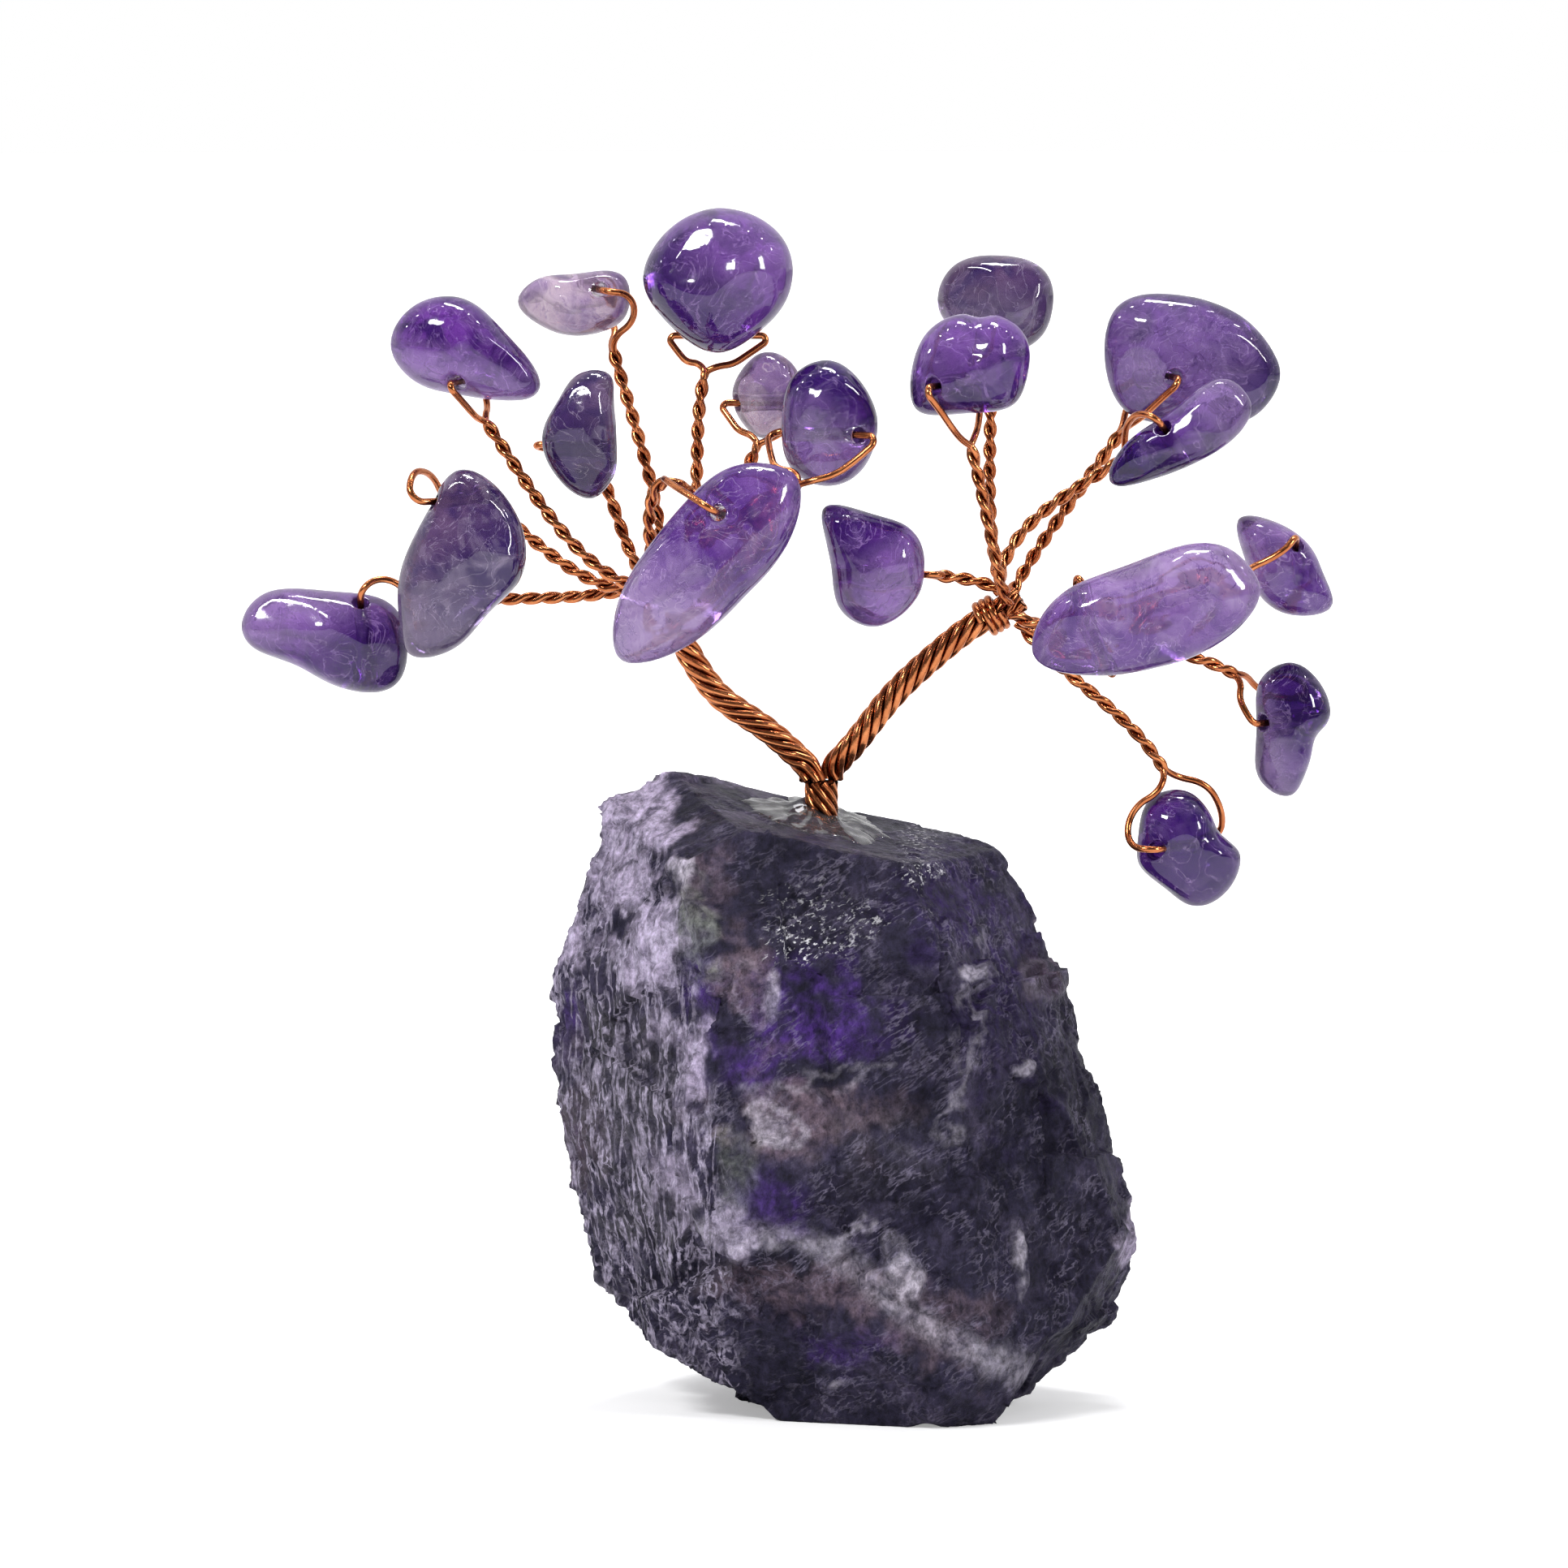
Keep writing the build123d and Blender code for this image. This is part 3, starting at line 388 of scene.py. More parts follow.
def noise_node(nodes, links, place, grain, detail=3.0, roughness=0.55, distortion=0.0):
    """Noise whose blotches are about one grain wide."""
    made = nodes.new("ShaderNodeTexNoise")
    made.inputs["Scale"].default_value = 1 / grain
    made.inputs["Detail"].default_value = detail
    made.inputs["Roughness"].default_value = roughness
    made.inputs["Distortion"].default_value = distortion
    links.new(place, made.inputs["Vector"])
    return made.outputs["Fac"]


def stretched(nodes, links, place, shares, turn=0.0):
    """The same spot turned about the away axis. A pattern is drawn out along an axis with a small share."""
    made = nodes.new("ShaderNodeMapping")
    made.vector_type = "TEXTURE"
    made.inputs["Rotation"].default_value = (0, math.radians(turn), 0)
    made.inputs["Scale"].default_value = [1 / share for share in shares]
    links.new(place, made.inputs["Vector"])
    return made.outputs["Vector"]


def web_node(nodes, links, place, grain, width, distortion):
    """1 on thin winding lines and 0 between them."""
    level = noise_node(nodes, links, place, grain, detail=4.0, distortion=distortion)
    made = nodes.new("ShaderNodeMath")
    made.operation = "SUBTRACT"
    made.inputs[1].default_value = 0.5
    links.new(level, made.inputs[0])
    gap = nodes.new("ShaderNodeMath")
    gap.operation = "ABSOLUTE"
    links.new(made.outputs[0], gap.inputs[0])
    return range_node(nodes, links, gap.outputs[0], 0.0, width, 1.0, 0.0)


def scaled_node(nodes, links, colour, factor):
    """The colour made darker or brighter by a factor."""
    made = nodes.new("ShaderNodeVectorMath")
    made.operation = "SCALE"
    links.new(colour, made.inputs[0])
    links.new(factor, made.inputs["Scale"])
    return made.outputs["Vector"]


def ramp_node(nodes, links, factor, stops):
    """A colour ramp through (place, colour) stops."""
    made = nodes.new("ShaderNodeValToRGB")
    ramp = made.color_ramp
    while len(ramp.elements) < len(stops):
        ramp.elements.new(0.5)
    for element, (spot, colour) in zip(ramp.elements, stops):
        element.position = spot
        element.color = (*colour, 1)
    links.new(factor, made.inputs["Fac"])
    return made.outputs["Color"]


def range_node(nodes, links, value, from_low, from_high, to_low, to_high):
    made = nodes.new("ShaderNodeMapRange")
    made.inputs["From Min"].default_value = from_low
    made.inputs["From Max"].default_value = from_high
    made.inputs["To Min"].default_value = to_low
    made.inputs["To Max"].default_value = to_high
    links.new(value, made.inputs["Value"])
    return made.outputs["Result"]


def mix_node(nodes, links, factor, first, second):
    """Colour first at factor 0 and second at 1. A plain colour or a socket will do for either."""
    made = nodes.new("ShaderNodeMix")
    made.data_type = "RGBA"
    links.new(factor, made.inputs["Factor"])
    for socket, colour in ((made.inputs[6], first), (made.inputs[7], second)):
        if isinstance(colour, tuple):
            socket.default_value = (*colour, 1)
        else:
            links.new(colour, socket)
    return made.outputs[2]


def math_node(nodes, links, operation, first, second):
    made = nodes.new("ShaderNodeMath")
    made.operation = operation
    made.use_clamp = True
    for socket, value in zip(made.inputs, (first, second)):
        if isinstance(value, float):
            socket.default_value = value
        else:
            links.new(value, socket)
    return made.outputs[0]


def mark_node(nodes, name):
    """A number that the mesh carries at each of its points."""
    made = nodes.new("ShaderNodeAttribute")
    made.attribute_name = name
    return made.outputs["Fac"]


def occlusion_shade_node(nodes, reach):
    """Ambient occlusion for painted shade: 1 in the open and less in a narrow groove."""
    made = nodes.new("ShaderNodeAmbientOcclusion")
    made.samples = 8
    made.inputs["Distance"].default_value = reach
    return made.outputs["AO"]


def bump_node(nodes, links, shader, height, strength, depth):
    made = nodes.new("ShaderNodeBump")
    made.inputs["Strength"].default_value = strength
    made.inputs["Distance"].default_value = depth
    links.new(height, made.inputs["Height"])
    links.new(made.outputs["Normal"], shader.inputs["Normal"])


# Materials

def tumbled_stone(slot):
    """Polished amethyst: deep and pale zones, clouds, pale veils, dark wisps and a wet gloss."""
    tones = STONE_TONES[slot]
    material, nodes, links, shader = start_material(slot + "_polished")
    place = place_of(nodes)
    broad = noise_node(nodes, links, place, STONE_ZONE_GRAIN, detail=3.0, roughness=0.55, distortion=1.0)
    body = ramp_node(nodes, links, broad, ((0.40, tones["deep"]), (0.54, tones["mid"])))
    body = mix_node(nodes, links, mark_node(nodes, "dark"), body, tones["deep"])
    cloud = noise_node(nodes, links, place, STONE_CLOUD_GRAIN, detail=4.0, roughness=0.6, distortion=1.2)
    cloudy = range_node(nodes, links, cloud, 0.52, 0.75, 0.0, 1.0)
    cloudy = math_node(nodes, links, "MULTIPLY", cloudy, mark_node(nodes, "cloud"))
    palest = math_node(nodes, links, "ADD", mark_node(nodes, "pale"), cloudy)
    zoned = mix_node(nodes, links, palest, body, tones["pale"])
    veil = noise_node(nodes, links, place, STONE_VEIL_GRAIN, detail=3.0, roughness=0.5, distortion=2.5)
    veil_line = ramp_node(nodes, links, veil, (
        (0.485, BLACK), (0.5, VEIL_TONE), (0.515, BLACK)))
    zoned = mix_node(nodes, links, veil_line, zoned, tones["pale"])
    wisp = web_node(nodes, links, place, STONE_WISP_GRAIN, width=0.025, distortion=1.6)
    thin = range_node(nodes, links, cloud, 0.4, 0.6, 0.75, 0.0)
    zoned = mix_node(nodes, links, math_node(nodes, links, "MULTIPLY", wisp, thin), zoned, tones["deep"])
    links.new(zoned, shader.inputs["Base Color"])
    wear = noise_node(nodes, links, place, STONE_WEAR_GRAIN, detail=3.0)
    links.new(range_node(nodes, links, wear, 0.3, 0.7, *STONE_ROUGHNESS), shader.inputs["Roughness"])
    shader.inputs["IOR"].default_value = QUARTZ_IOR
    shader.inputs["Specular IOR Level"].default_value = STONE_SHINE
    shader.inputs["Transmission Weight"].default_value = tones["clear"]
    ripple = noise_node(nodes, links, place, STONE_RIPPLE_GRAIN, detail=2.0)
    bump_node(nodes, links, shader, ripple, strength=0.3, depth=STONE_RIPPLE_DEPTH)
    return material


def copper_wire():
    """Bright drawn copper with tarnish in patches, and painted shade in the grooves between turns."""
    material, nodes, links, shader = start_material("copper_wire_drawn")
    place = place_of(nodes)
    patch = noise_node(nodes, links, place, COPPER_PATCH_GRAIN, detail=3.0, roughness=0.6)
    colour = ramp_node(nodes, links, patch, ((0.32, COPPER_DULL), (0.68, COPPER_BRIGHT)))
    # Painted shade: the colour darkens to the shade tone where ambient occlusion finds a groove between turns
    unshaded_share = range_node(nodes, links, occlusion_shade_node(nodes, COPPER_SHADE_REACH), 0.35, 0.95, 0.0, 1.0)
    links.new(mix_node(nodes, links, unshaded_share, COPPER_PAINTED_SHADE, colour), shader.inputs["Base Color"])
    shader.inputs["Metallic"].default_value = 1.0
    fine = noise_node(nodes, links, place, COPPER_FINE_GRAIN, detail=3.0)
    links.new(range_node(nodes, links, fine, 0.3, 0.7, *COPPER_ROUGHNESS), shader.inputs["Roughness"])
    bump_node(nodes, links, shader, fine, strength=0.12, depth=COPPER_BUMP_DEPTH)
    return material


def clear_glue():
    """Set clear glue, a little milky."""
    material, nodes, links, shader = start_material("clear_glue_set")
    place = place_of(nodes)
    milk = noise_node(nodes, links, place, GLUE_MILK_GRAIN, detail=3.0)
    colour = ramp_node(nodes, links, milk, ((0.35, GLUE_CLEAR), (0.7, GLUE_MILKY)))
    links.new(colour, shader.inputs["Base Color"])
    links.new(range_node(nodes, links, milk, 0.3, 0.7, *GLUE_ROUGHNESS), shader.inputs["Roughness"])
    shader.inputs["IOR"].default_value = GLUE_IOR
    shader.inputs["Transmission Weight"].default_value = GLUE_CLEARNESS
    bump_node(nodes, links, shader, milk, strength=0.08, depth=GLUE_BUMP_DEPTH)
    return material


def rough_stone():
    """Broken amethyst: near-black violet with coloured zones, a pale web, fibres and painted glints."""
    material, nodes, links, shader = start_material("rough_stone_broken")
    place = place_of(nodes)
    broad = noise_node(nodes, links, place, ROCK_BODY_GRAIN, detail=5.0, roughness=0.6, distortion=0.8)
    colour = ramp_node(nodes, links, broad, ROCK_BODY)
    patchy = noise_node(nodes, links, place, ROCK_PATCH_GRAIN, detail=5.0, roughness=0.65, distortion=0.8)
    ragged = range_node(nodes, links, patchy, 0.36, 0.6, 0.2, 1.0)
    for mark, tone in ROCK_TONES.items():
        amount = math_node(nodes, links, "MULTIPLY", mark_node(nodes, mark), ragged)
        colour = mix_node(nodes, links, amount, colour, tone)
    spread = noise_node(nodes, links, place, ROCK_THIN_GRAIN, detail=3.0)
    thin = range_node(nodes, links, spread, 0.42, 0.65, 0.0, 0.4)
    slanting = stretched(nodes, links, place, SLANT_SHARES, SLANT_TURN)
    web = web_node(nodes, links, slanting, ROCK_WEB_GRAIN, width=0.05, distortion=0.2)
    colour = mix_node(nodes, links, math_node(nodes, links, "MULTIPLY", web, thin), colour, ROCK_WEB)
    upright = stretched(nodes, links, place, FIBRE_SHARES)
    fibre = web_node(nodes, links, upright, ROCK_FIBRE_GRAIN, width=0.06, distortion=0.4)
    fibre = math_node(nodes, links, "MULTIPLY", fibre, mark_node(nodes, "fibre"))
    colour = mix_node(nodes, links, math_node(nodes, links, "MULTIPLY", fibre, ragged), colour, ROCK_FIBRE)
    drawn_out = stretched(nodes, links, place, FINE_SHARES)
    fine = noise_node(nodes, links, drawn_out, ROCK_FINE_GRAIN, detail=6.0, roughness=0.75)
    colour = scaled_node(nodes, links, colour, range_node(nodes, links, fine, 0.35, 0.65, 0.45, 1.6))
    # Painted highlights: short bright strokes in the colour where the glint zones are, standing for glassy
    # facets catching the lamps
    stroke = web_node(nodes, links, slanting, ROCK_STROKE_GRAIN, width=0.05, distortion=0.0)
    breaks = noise_node(nodes, links, place, ROCK_SHORT_GRAIN, detail=2.0)
    short = range_node(nodes, links, breaks, 0.5, 0.6, 0.0, 1.0)
    painted_glint = math_node(nodes, links, "MULTIPLY", stroke, short)
    painted_glint = math_node(nodes, links, "MULTIPLY", painted_glint, mark_node(nodes, "painted_glint"))
    colour = mix_node(nodes, links, painted_glint, colour, ROCK_PAINTED_GLINT)
    links.new(colour, shader.inputs["Base Color"])
    links.new(range_node(nodes, links, patchy, 0.3, 0.7, *ROCK_ROUGHNESS), shader.inputs["Roughness"])
    shader.inputs["IOR"].default_value = QUARTZ_IOR
    shader.inputs["Specular IOR Level"].default_value = ROCK_SHINE
    bump_node(nodes, links, shader, fine, strength=0.7, depth=ROCK_BUMP_DEPTH)
    return material


# Meshes

def applied(piece):
    """Puts the outcome of a piece's modifiers in its mesh."""
    evaluated = piece.evaluated_get(bpy.context.evaluated_depsgraph_get())
    made = bpy.data.meshes.new_from_object(evaluated)
    piece.modifiers.clear()
    piece.data = made
    made.name = piece.name
    made.polygons.foreach_set("use_smooth", [True] * len(made.polygons))


def soften(piece, strength, rounds):
    """Adds smoothing to a piece."""
    modifier = piece.modifiers.new("soften", "SMOOTH")
    modifier.factor = strength
    modifier.iterations = rounds


def refined(name, node, grain, strength, rounds):
    """A new piece with the shape of a CAD node, in even small faces."""
    piece = bpy.data.objects.new(name, frame["nodes"][node].data.copy())
    bpy.context.scene.collection.objects.link(piece)
    remesh = piece.modifiers.new("even", "REMESH")
    remesh.mode = "VOXEL"
    remesh.voxel_size = grain
    soften(piece, strength, rounds)
    applied(piece)
    return piece


def points_and_normals(mesh):
    """The mesh's points and their normals, as rows of three."""
    count = len(mesh.vertices)
    points = np.empty(count * 3)
    normals = np.empty(count * 3)
    mesh.vertices.foreach_get("co", points)
    mesh.vertices.foreach_get("normal", normals)
    return points.reshape(-1, 3), normals.reshape(-1, 3)


def set_points(mesh, points):
    mesh.vertices.foreach_set("co", points.reshape(-1))
    mesh.update()


def set_mark(mesh, name, values):
    """Gives each point of the mesh a number that a material can read by name."""
    mark = mesh.attributes.new(name, "FLOAT", "POINT")
    mark.data.foreach_set("value", np.asarray(values, dtype=float))


def dress(piece, material, body, node):
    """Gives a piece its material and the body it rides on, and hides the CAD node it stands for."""
    piece.data.materials.clear()
    piece.data.materials.append(material)
    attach(piece, body)
    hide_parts(node)


def flattened(points, centre, draw):
    """The points with soft flats rubbed on the stone's broad sides."""
    for _ in range(FLAT_COUNT):
        right = draw.uniform(-FLAT_LEAN, FLAT_LEAN)
        side = draw.choice((-1, 1))
        rise = draw.uniform(-FLAT_LEAN, FLAT_LEAN)
        lean = (right, side, rise)
        facing = np.array(lean) / np.linalg.norm(lean)
        reach = (points - centre) @ facing
        limit = reach.max() * draw.uniform(*FLAT_START_SHARES)
        over = np.maximum(reach - limit, 0)
        points = points - over[:, None] * facing * FLAT_RUB_SHARE
    return points


def grooved(points, normals, centre, grooves):
    """The points with each groove pressed in, from the stone's middle one way."""
    for across, up, turn, depth, width in grooves:
        angle = math.radians(turn)
        away = (points - centre) / MM - np.array((across, 0, up))
        along = away[:, 0] * math.cos(angle) + away[:, 2] * math.sin(angle)
        off = away[:, 2] * math.cos(angle) - away[:, 0] * math.sin(angle)
        press = depth * MM * np.exp(-(off / width) ** 2) * np.clip(along / width, 0, 1)
        points = points - normals * press[:, None]
    return points


def pulled(points, centre, pulls):
    """The points with each pull's spot shifted, and its surroundings less."""
    for across, up, reach, right, rise in pulls:
        away = (points - centre) / MM - np.array((across, 0, up))
        weight = np.exp(-(away[:, 0] ** 2 + away[:, 2] ** 2) / reach ** 2)
        points = points + weight[:, None] * np.array((right, 0, rise)) * MM
    return points


def dented(points, normals, seed):
    """The points with shallow dents, deepest on the broad sides so the outline stays."""
    lead = Vector([seed * step for step in DENT_LEAD])
    broad = DENT_OUTLINE_SHARE + DENT_BROAD_SHARE * np.abs(normals[:, 1])
    press = np.zeros(len(points))
    for size, depth in DENTS:
        dents = np.array([noise.noise(Vector(point / size) + lead) for point in points])
        press += depth * (0.5 + 0.5 * dents) * broad
    return points - normals * press[:, None]


def tumbled_bead(name, look, material, seed):
    """One polished stone: the CAD stone with soft flats, pulls, grooves and dents, and its zones marked."""
    node = name + "_bead"
    piece = refined(name + "_stone_polished", node, BEAD_GRAIN, *BEAD_SOFTENING)
    points, normals = points_and_normals(piece.data)
    centre = (points.max(axis=0) + points.min(axis=0)) / 2
    half = (points.max(axis=0) - points.min(axis=0)) / 2
    points = flattened(points, centre, random.Random(seed))
    points = pulled(points, centre, look.get("pulls", ()))
    points = grooved(points, normals, centre, look.get("grooves", ()))
    points = dented(points, normals, seed)
    set_points(piece.data, points)
    soften(piece, *BEAD_SOFTENING)
    applied(piece)
    for zone in ("pale", "dark"):
        side = np.array(look[zone])
        lean = (points - centre) / half @ (side / np.linalg.norm(side))
        growth = np.clip((lean - ZONE_START_SHARE) / ZONE_GROWTH_SHARE, 0, 1)
        set_mark(piece.data, zone, look[zone + "_share"] * growth)
    set_mark(piece.data, "cloud", np.full(len(points), look["cloud_share"]))
    dress(piece, material, name + "_stone", node)


def full_wire(node, material, swell):
    """The CAD wire a little fuller, with its turns pressed together."""
    piece = bpy.data.objects.new(node + "_copper", frame["nodes"][node].data.copy())
    bpy.context.scene.collection.objects.link(piece)
    points, normals = points_and_normals(piece.data)
    set_points(piece.data, points + normals * swell)
    dress(piece, material, "tree", node)


# Rock

def line_gap(across, up, places):
    """The distance from a spot on the front to a line through the places."""
    best = math.inf
    for (x0, z0), (x1, z1) in zip(places, places[1:]):
        length = math.hypot(x1 - x0, z1 - z0)
        share = clamp(((across - x0) * (x1 - x0) + (up - z0) * (z1 - z0)) / length ** 2)
        best = min(best, math.hypot(across - x0 - share * (x1 - x0), up - z0 - share * (z1 - z0)))
    return best


def rib_place(up):
    """How far right the rib is at a height."""
    heights = [z for _, z in reversed(ROCK_RIB)]
    places = [x for x, _ in reversed(ROCK_RIB)]
    return float(np.interp(up, heights, places))


def left_face(spot, facing):
    """1 on the striped face left of the rib, and 0 elsewhere."""
    wander = RIB_WANDER * noise.fractal(spot / RIB_WANDER_SIZE, *ROUGH_NOISE)
    past_rib = spot.x + wander - rib_place(spot.z)
    return smooth_step(RIB_SOFT, -RIB_SOFT, past_rib) * smooth_step(*LEFT_FACING, facing.y)


def chip_gap(spot, outline):
    """0 at the middle of a chip and 1 at its edge."""
    across, up, half_width, half_height, turn = outline
    angle = math.radians(turn)
    right = (spot.x - across) * math.cos(angle) + (spot.z - up) * math.sin(angle)
    rise = (spot.z - up) * math.cos(angle) - (spot.x - across) * math.sin(angle)
    return math.hypot(right / half_width, rise / half_height)


def rock_height(spot, facing):
    """How far the broken face stands out at a spot."""
    height = 0.0
    for size, slope in ROCK_BREAKS:
        cell = noise.voronoi(spot / size)[1][0]
        tilt = noise.cell_vector(cell * BREAK_LEAD) - Vector(HALVES)
        height += 2 * slope * tilt.dot(spot - cell * size)
    height += ROCK_GRIT * noise.fractal(spot / ROCK_GRIT_SIZE, *SMOOTH_NOISE)
    left = left_face(spot, facing)
    stripe = Vector((
        (spot.x - spot.y) / ROCK_STRIPE_WIDTH,
        (spot.x + spot.y) / ROCK_STRIPE_DEEP,
        spot.z / ROCK_STRIPE_LENGTH))
    height += left * ROCK_STRIPE * (0.5 - 2 * abs(noise.noise(stripe)))
    front = smooth_step(*STEP_FACING, facing.y) * (1 - left)
    wander = ROCK_STEP_WANDER * noise.noise(Vector((spot.x / ROCK_STEP_WANDER_SIZE, 0, ROCK_STEP_LEAD)))
    over_step = spot.z + wander - ROCK_STEP_HEIGHT
    height += front * ROCK_STEP * (2 * smooth_step(-ROCK_STEP_SOFT, ROCK_STEP_SOFT, over_step) - 1)
    if facing.y < CHIP_FACING:
        warp = CHIP_WANDER * noise.noise(spot / CHIP_WANDER_SIZE)
        for *outline, rise, _ in ROCK_CHIPS:
            height += rise * smooth_step(*CHIP_FADE_SHARES, chip_gap(spot, outline) + warp)
    toe = 1 - (spot - Vector(TOE_PLACE)).length / TOE_REACH
    return height + TOE_SIZE * smooth_step(0, 1, toe)


def dip(spot):
    """How far the top sinks round the trunk."""
    across = (spot.x - DIP_PLACE[0]) / DIP_REACH[0]
    away = (spot.y - DIP_PLACE[1]) / DIP_REACH[1]
    sunk = 1 - smooth_step(DIP_FLAT_SHARE, 1, math.hypot(across, away))
    return DIP_DEPTH * sunk * smooth_step(DIP_TOP, DIP_TOP + DIP_FADE, spot.z)


def rock_fade(spot):
    """0 at the trunk's socket, where the rock keeps its shape, and 1 elsewhere."""
    if spot.z <= DIP_TOP:
        return 1.0
    return smooth_step(*ROCK_SOCKET, math.hypot(spot.x, spot.y))


def rock_marks(spot, facing):
    """How much of each coloured zone there is at a spot."""
    warp = noise.fractal(spot / ZONE_WANDER_SIZE, *ROUGH_NOISE)
    front = smooth_step(*FRONT_FACING, facing.y)
    marks = {}
    for number, (mark, zones) in enumerate(ROCK_ZONES.items()):
        best = 0.0
        for across, up, half_width, half_height, strength in zones:
            gap = math.hypot((spot.x - across) / half_width, (spot.z - up) / half_height)
            best = max(best, strength * (1 - smooth_step(*ZONE_FADE_SHARES, gap + ZONE_WANDER * warp)))
        blotch = noise.fractal(spot / BLOTCH_SIZE + Vector((BLOTCH_LEAD * number, 0, 0)), *SMOOTH_NOISE)
        wild = BLOTCH_SHARE * smooth_step(*BLOTCH_FADE, blotch)
        marks[mark] = front * best + (1 - front) * wild
    for places, half_width, strength in ROCK_VEINS:
        gap = line_gap(spot.x + VEIN_WANDER * warp, spot.z - VEIN_WANDER * warp, places) / half_width
        marks["pale"] = max(marks["pale"], front * strength * (1 - smooth_step(*VEIN_FADE_SHARES, gap)))
    for *outline, _, strength in ROCK_CHIPS:
        rim = abs(chip_gap(spot, outline) + RIM_WANDER * warp - RIM_PLACE_SHARE) / RIM_WIDTH_SHARE
        marks["pale"] = max(marks["pale"], strength * front * (1 - smooth_step(*RIM_FADE_SHARES, rim)))
    marks["fibre"] = max(left_face(spot, facing), BACK_FIBRE_SHARE * (1 - front))
    return marks


def rough_rock(material):
    """The broken base: breaks, stripes on the left face, a step on the front and the coloured zones."""
    piece = refined("rough_rock", "rock_base", ROCK_GRAIN, *ROCK_SOFTENING)
    points, normals = points_and_normals(piece.data)
    marks = {mark: np.zeros(len(points)) for mark in (*ROCK_ZONES, "fibre")}
    for row, (point, normal) in enumerate(zip(points, normals)):
        spot = Vector(point) / MM
        facing = Vector(normal)
        for mark, amount in rock_marks(spot, facing).items():
            marks[mark][row] = amount
        rise = rock_fade(spot) * rock_height(spot, facing) * smooth_step(0, ROCK_FOOT, spot.z)
        moved = spot + facing * rise
        moved.z -= dip(spot)
        points[row] = (moved.x * MM, moved.y * MM, max(moved.z, 0) * MM)
    set_points(piece.data, points)
    for mark, amounts in marks.items():
        set_mark(piece.data, mark, amounts)
    dress(piece, material, "tree", "rock_base")
    return piece


def film_points(ground):
    """The film's upper and lower points, ring by ring from the trunk outwards."""
    tops = []
    lows = []
    for ring in range(GLUE_RINGS + 1):
        share = ring / GLUE_RINGS
        for spoke in range(GLUE_SPOKES):
            angle = 2 * math.pi * spoke / GLUE_SPOKES
            way = Vector((math.cos(angle), math.sin(angle), 0))
            edge = GLUE_REACH + GLUE_RAGGED * noise.fractal(way * GLUE_EDGE_WAVES, *EDGE_NOISE)
            place = way * (GLUE_INNER + (edge - GLUE_INNER) * share)
            over = way * max(place.length, 2 * GLUE_INNER)
            hit = ground.ray_cast(Vector((over.x, over.y, CAD_BOX[1].z)), Vector((0, 0, -1)))[0]
            ripple = 1 + GLUE_RIPPLE_SHARE * noise.noise(place / MM)
            rise = (GLUE_RISE * (1 - share) ** 2 + GLUE_SKIN * (1 - share ** 6)) * ripple
            tops.append((place.x, place.y, hit.z + rise))
            lows.append((place.x, place.y, hit.z - GLUE_SOAK))
    return tops, lows


def film_faces(count):
    """The faces over, under and round the film, whose lower points follow its count of upper points."""
    faces = []
    for ring in range(GLUE_RINGS):
        for spoke in range(GLUE_SPOKES):
            after = (spoke + 1) % GLUE_SPOKES
            here = ring * GLUE_SPOKES + spoke
            aside = ring * GLUE_SPOKES + after
            top = (here, here + GLUE_SPOKES, aside + GLUE_SPOKES, aside)
            faces.append(top)
            low = (here, aside, aside + GLUE_SPOKES, here + GLUE_SPOKES)
            faces.append(tuple(corner + count for corner in low))
    for spoke in range(GLUE_SPOKES):
        after = (spoke + 1) % GLUE_SPOKES
        rim = GLUE_RINGS * GLUE_SPOKES
        faces.append((spoke, after, after + count, spoke + count))
        faces.append((rim + after, rim + spoke, rim + spoke + count, rim + after + count))
    return faces


def glue_film(material, rock):
    """Clear glue that has run out over the rock round the trunk, in a thin uneven film."""
    ground = BVHTree.FromObject(rock, bpy.context.evaluated_depsgraph_get())
    tops, lows = film_points(ground)
    faces = film_faces(len(tops))
    mesh = bpy.data.meshes.new("glue_film")
    mesh.from_pydata(tops + lows, [], faces)
    mesh.polygons.foreach_set("use_smooth", [True] * len(faces))
    mesh.update()
    piece = bpy.data.objects.new("glue_film", mesh)
    bpy.context.scene.collection.objects.link(piece)
    dress(piece, material, "tree", "glue_collar")


# Stage

def floor():
    """A plain pale floor that stays white in the picture where no shadow falls."""
    bpy.ops.mesh.primitive_circle_add(
        vertices=FLOOR_SIDES, radius=FLOOR_RADIUS, fill_type="NGON", location=(0, 0, 0))
    disc = bpy.context.object
    disc.name = "floor"
    material, nodes, links, shader = start_material("floor_pale")
    shader.inputs["Base Color"].default_value = FLOOR_TONE
    shader.inputs["Roughness"].default_value = FLOOR_ROUGHNESS
    shader.inputs["Specular IOR Level"].default_value = FLOOR_SHINE
    far = nodes.new("ShaderNodeVectorMath")
    far.operation = "LENGTH"
    links.new(place_of(nodes), far.inputs[0])
    glow = range_node(nodes, links, far.outputs["Value"], *FLOOR_GLOW_SPREAD, *FLOOR_GLOW)
    path = nodes.new("ShaderNodeLightPath")
    shown = math_node(nodes, links, "MULTIPLY", path.outputs["Is Camera Ray"], glow)
    shader.inputs["Emission Color"].default_value = (1, 1, 1, 1)
    links.new(shown, shader.inputs["Emission Strength"])
    disc.data.materials.append(material)


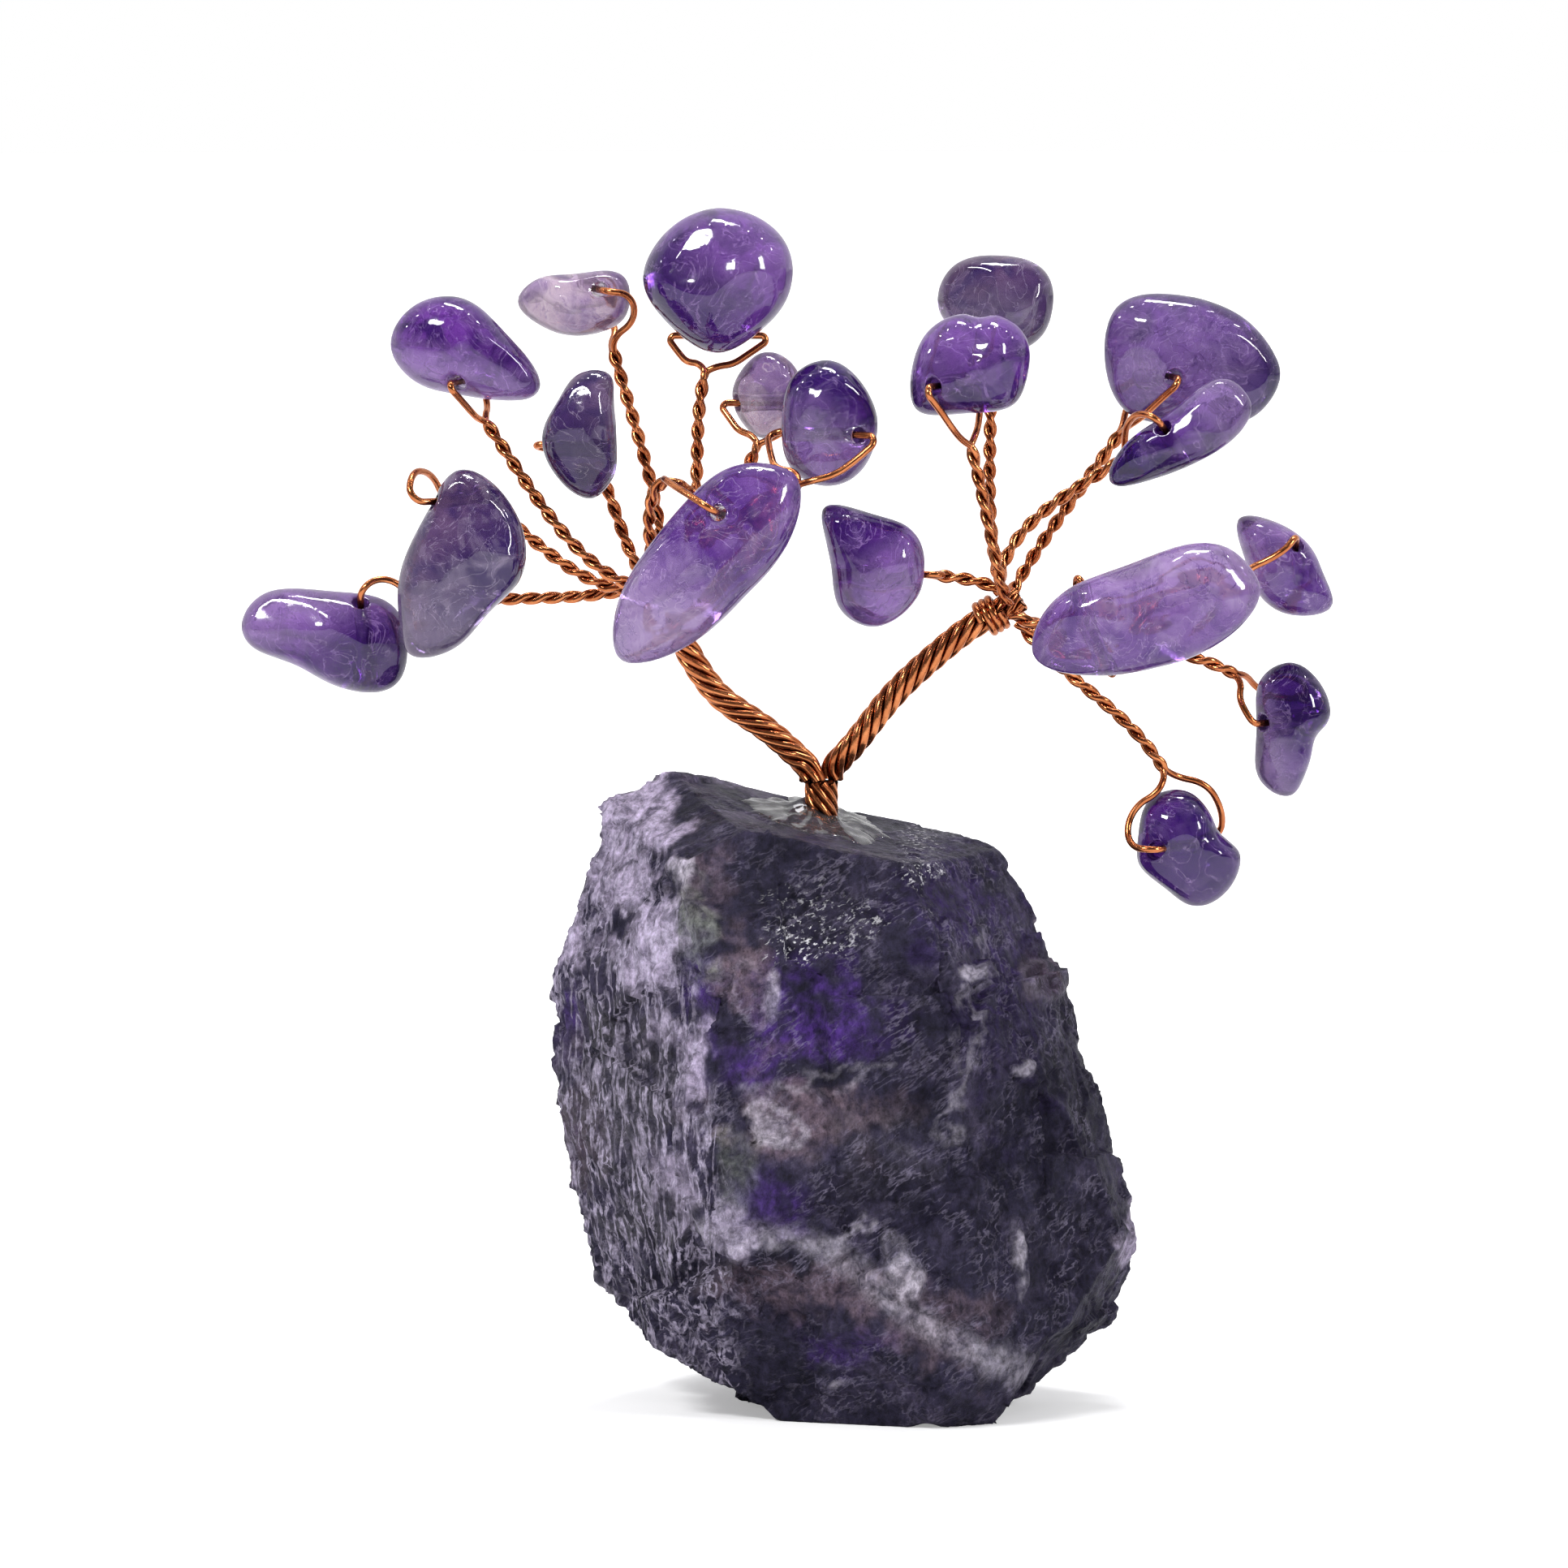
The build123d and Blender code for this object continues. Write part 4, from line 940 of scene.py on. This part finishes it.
def world():
    """White for the camera. Metal and stone see a white backdrop and a darker room before it."""
    made = bpy.data.worlds.new("studio")
    bpy.context.scene.world = made
    made.use_nodes = True
    nodes = made.node_tree.nodes
    links = made.node_tree.links
    path = nodes.new("ShaderNodeLightPath")
    split = nodes.new("ShaderNodeSeparateXYZ")
    links.new(nodes.new("ShaderNodeTexCoord").outputs["Generated"], split.inputs[0])
    backdrop = range_node(nodes, links, split.outputs["Y"], *BACKDROP_SPREAD, *BACKDROP_LIGHT)
    glossy = path.outputs["Is Glossy Ray"]
    mirrored = math_node(nodes, links, "MAXIMUM", glossy, path.outputs["Is Transmission Ray"])
    colour = mix_node(nodes, links, mirrored, FILL_LIGHT, backdrop)
    colour = mix_node(nodes, links, path.outputs["Is Camera Ray"], colour, (1.0, 1.0, 1.0))
    links.new(colour, nodes["Background"].inputs["Color"])


def lamp(name, place, sides, power):
    """A soft box, as wide and high as its sides, that faces the tree."""
    light = bpy.data.lights.new(name, "AREA")
    light.shape = "RECTANGLE"
    light.size, light.size_y = sides
    light.energy = power
    made = bpy.data.objects.new(name, light)
    made.location = place
    made.rotation_euler = (Vector(LAMP_TARGET) - Vector(place)).to_track_quat("-Z", "Y").to_euler()
    bpy.context.scene.collection.objects.link(made)


def camera():
    """The photograph's view: level with the crown, a little above, through a long lens."""
    frame_width = PHOTO_SIDE / PIXELS_PER_MM * MM
    target = Vector((
        (PHOTO_SIDE / 2 - AXIS_COLUMN) / PIXELS_PER_MM * MM,
        0,
        (FLOOR_ROW - PHOTO_SIDE / 2) / (PIXELS_PER_MM * math.cos(CAMERA_ELEVATION)) * MM))
    back = Vector((0, -math.cos(CAMERA_ELEVATION), math.sin(CAMERA_ELEVATION)))
    lens = bpy.data.cameras.new("camera")
    lens.sensor_width = SENSOR_WIDTH / MM
    lens.lens = SENSOR_WIDTH * CAMERA_DISTANCE / frame_width / MM
    lens.clip_start, lens.clip_end = CAMERA_CLIP
    made = bpy.data.objects.new("camera", lens)
    made.location = target + back * CAMERA_DISTANCE
    made.rotation_euler = (-back).to_track_quat("-Z", "Y").to_euler()
    bpy.context.scene.collection.objects.link(made)
    bpy.context.scene.camera = made


def lamps():
    """The soft boxes, and the small lamps that give the stones their sparks."""
    for name, (place, sides, power) in SOFT_BOXES.items():
        lamp(name, place, sides, power)
    for number, angle in enumerate(SPARK_ANGLES):
        turn = math.radians(angle)
        place = (SPARK_ARCH * math.sin(turn), 0, SPARK_ARCH * math.cos(turn))
        lamp("spark_%d" % number, place, (SPARK_SIZE, SPARK_SIZE), SPARK_POWER)


def beads():
    """The eighteen stones, each with the material of its slot."""
    stones = {slot: tumbled_stone(slot) for slot in STONE_TONES}
    for seed, (name, look) in enumerate(BEADS.items()):
        tumbled_bead(name, look, stones[look["slot"]], seed)


def wires():
    """Copper wire in the place of each CAD wire."""
    copper = copper_wire()
    for name in list(frame["nodes"]):
        if name.endswith("_twig"):
            full_wire(name, copper, TWIG_SWELL)
        elif name.endswith(("_branch", "_wrap", "trunk")):
            full_wire(name, copper, BUNDLE_SWELL)


def main():
    bpy.context.scene.view_settings.view_transform = "Standard"
    camera()
    world()
    floor()
    lamps()
    beads()
    rock = rough_rock(rough_stone())
    glue_film(clear_glue(), rock)
    wires()


main()
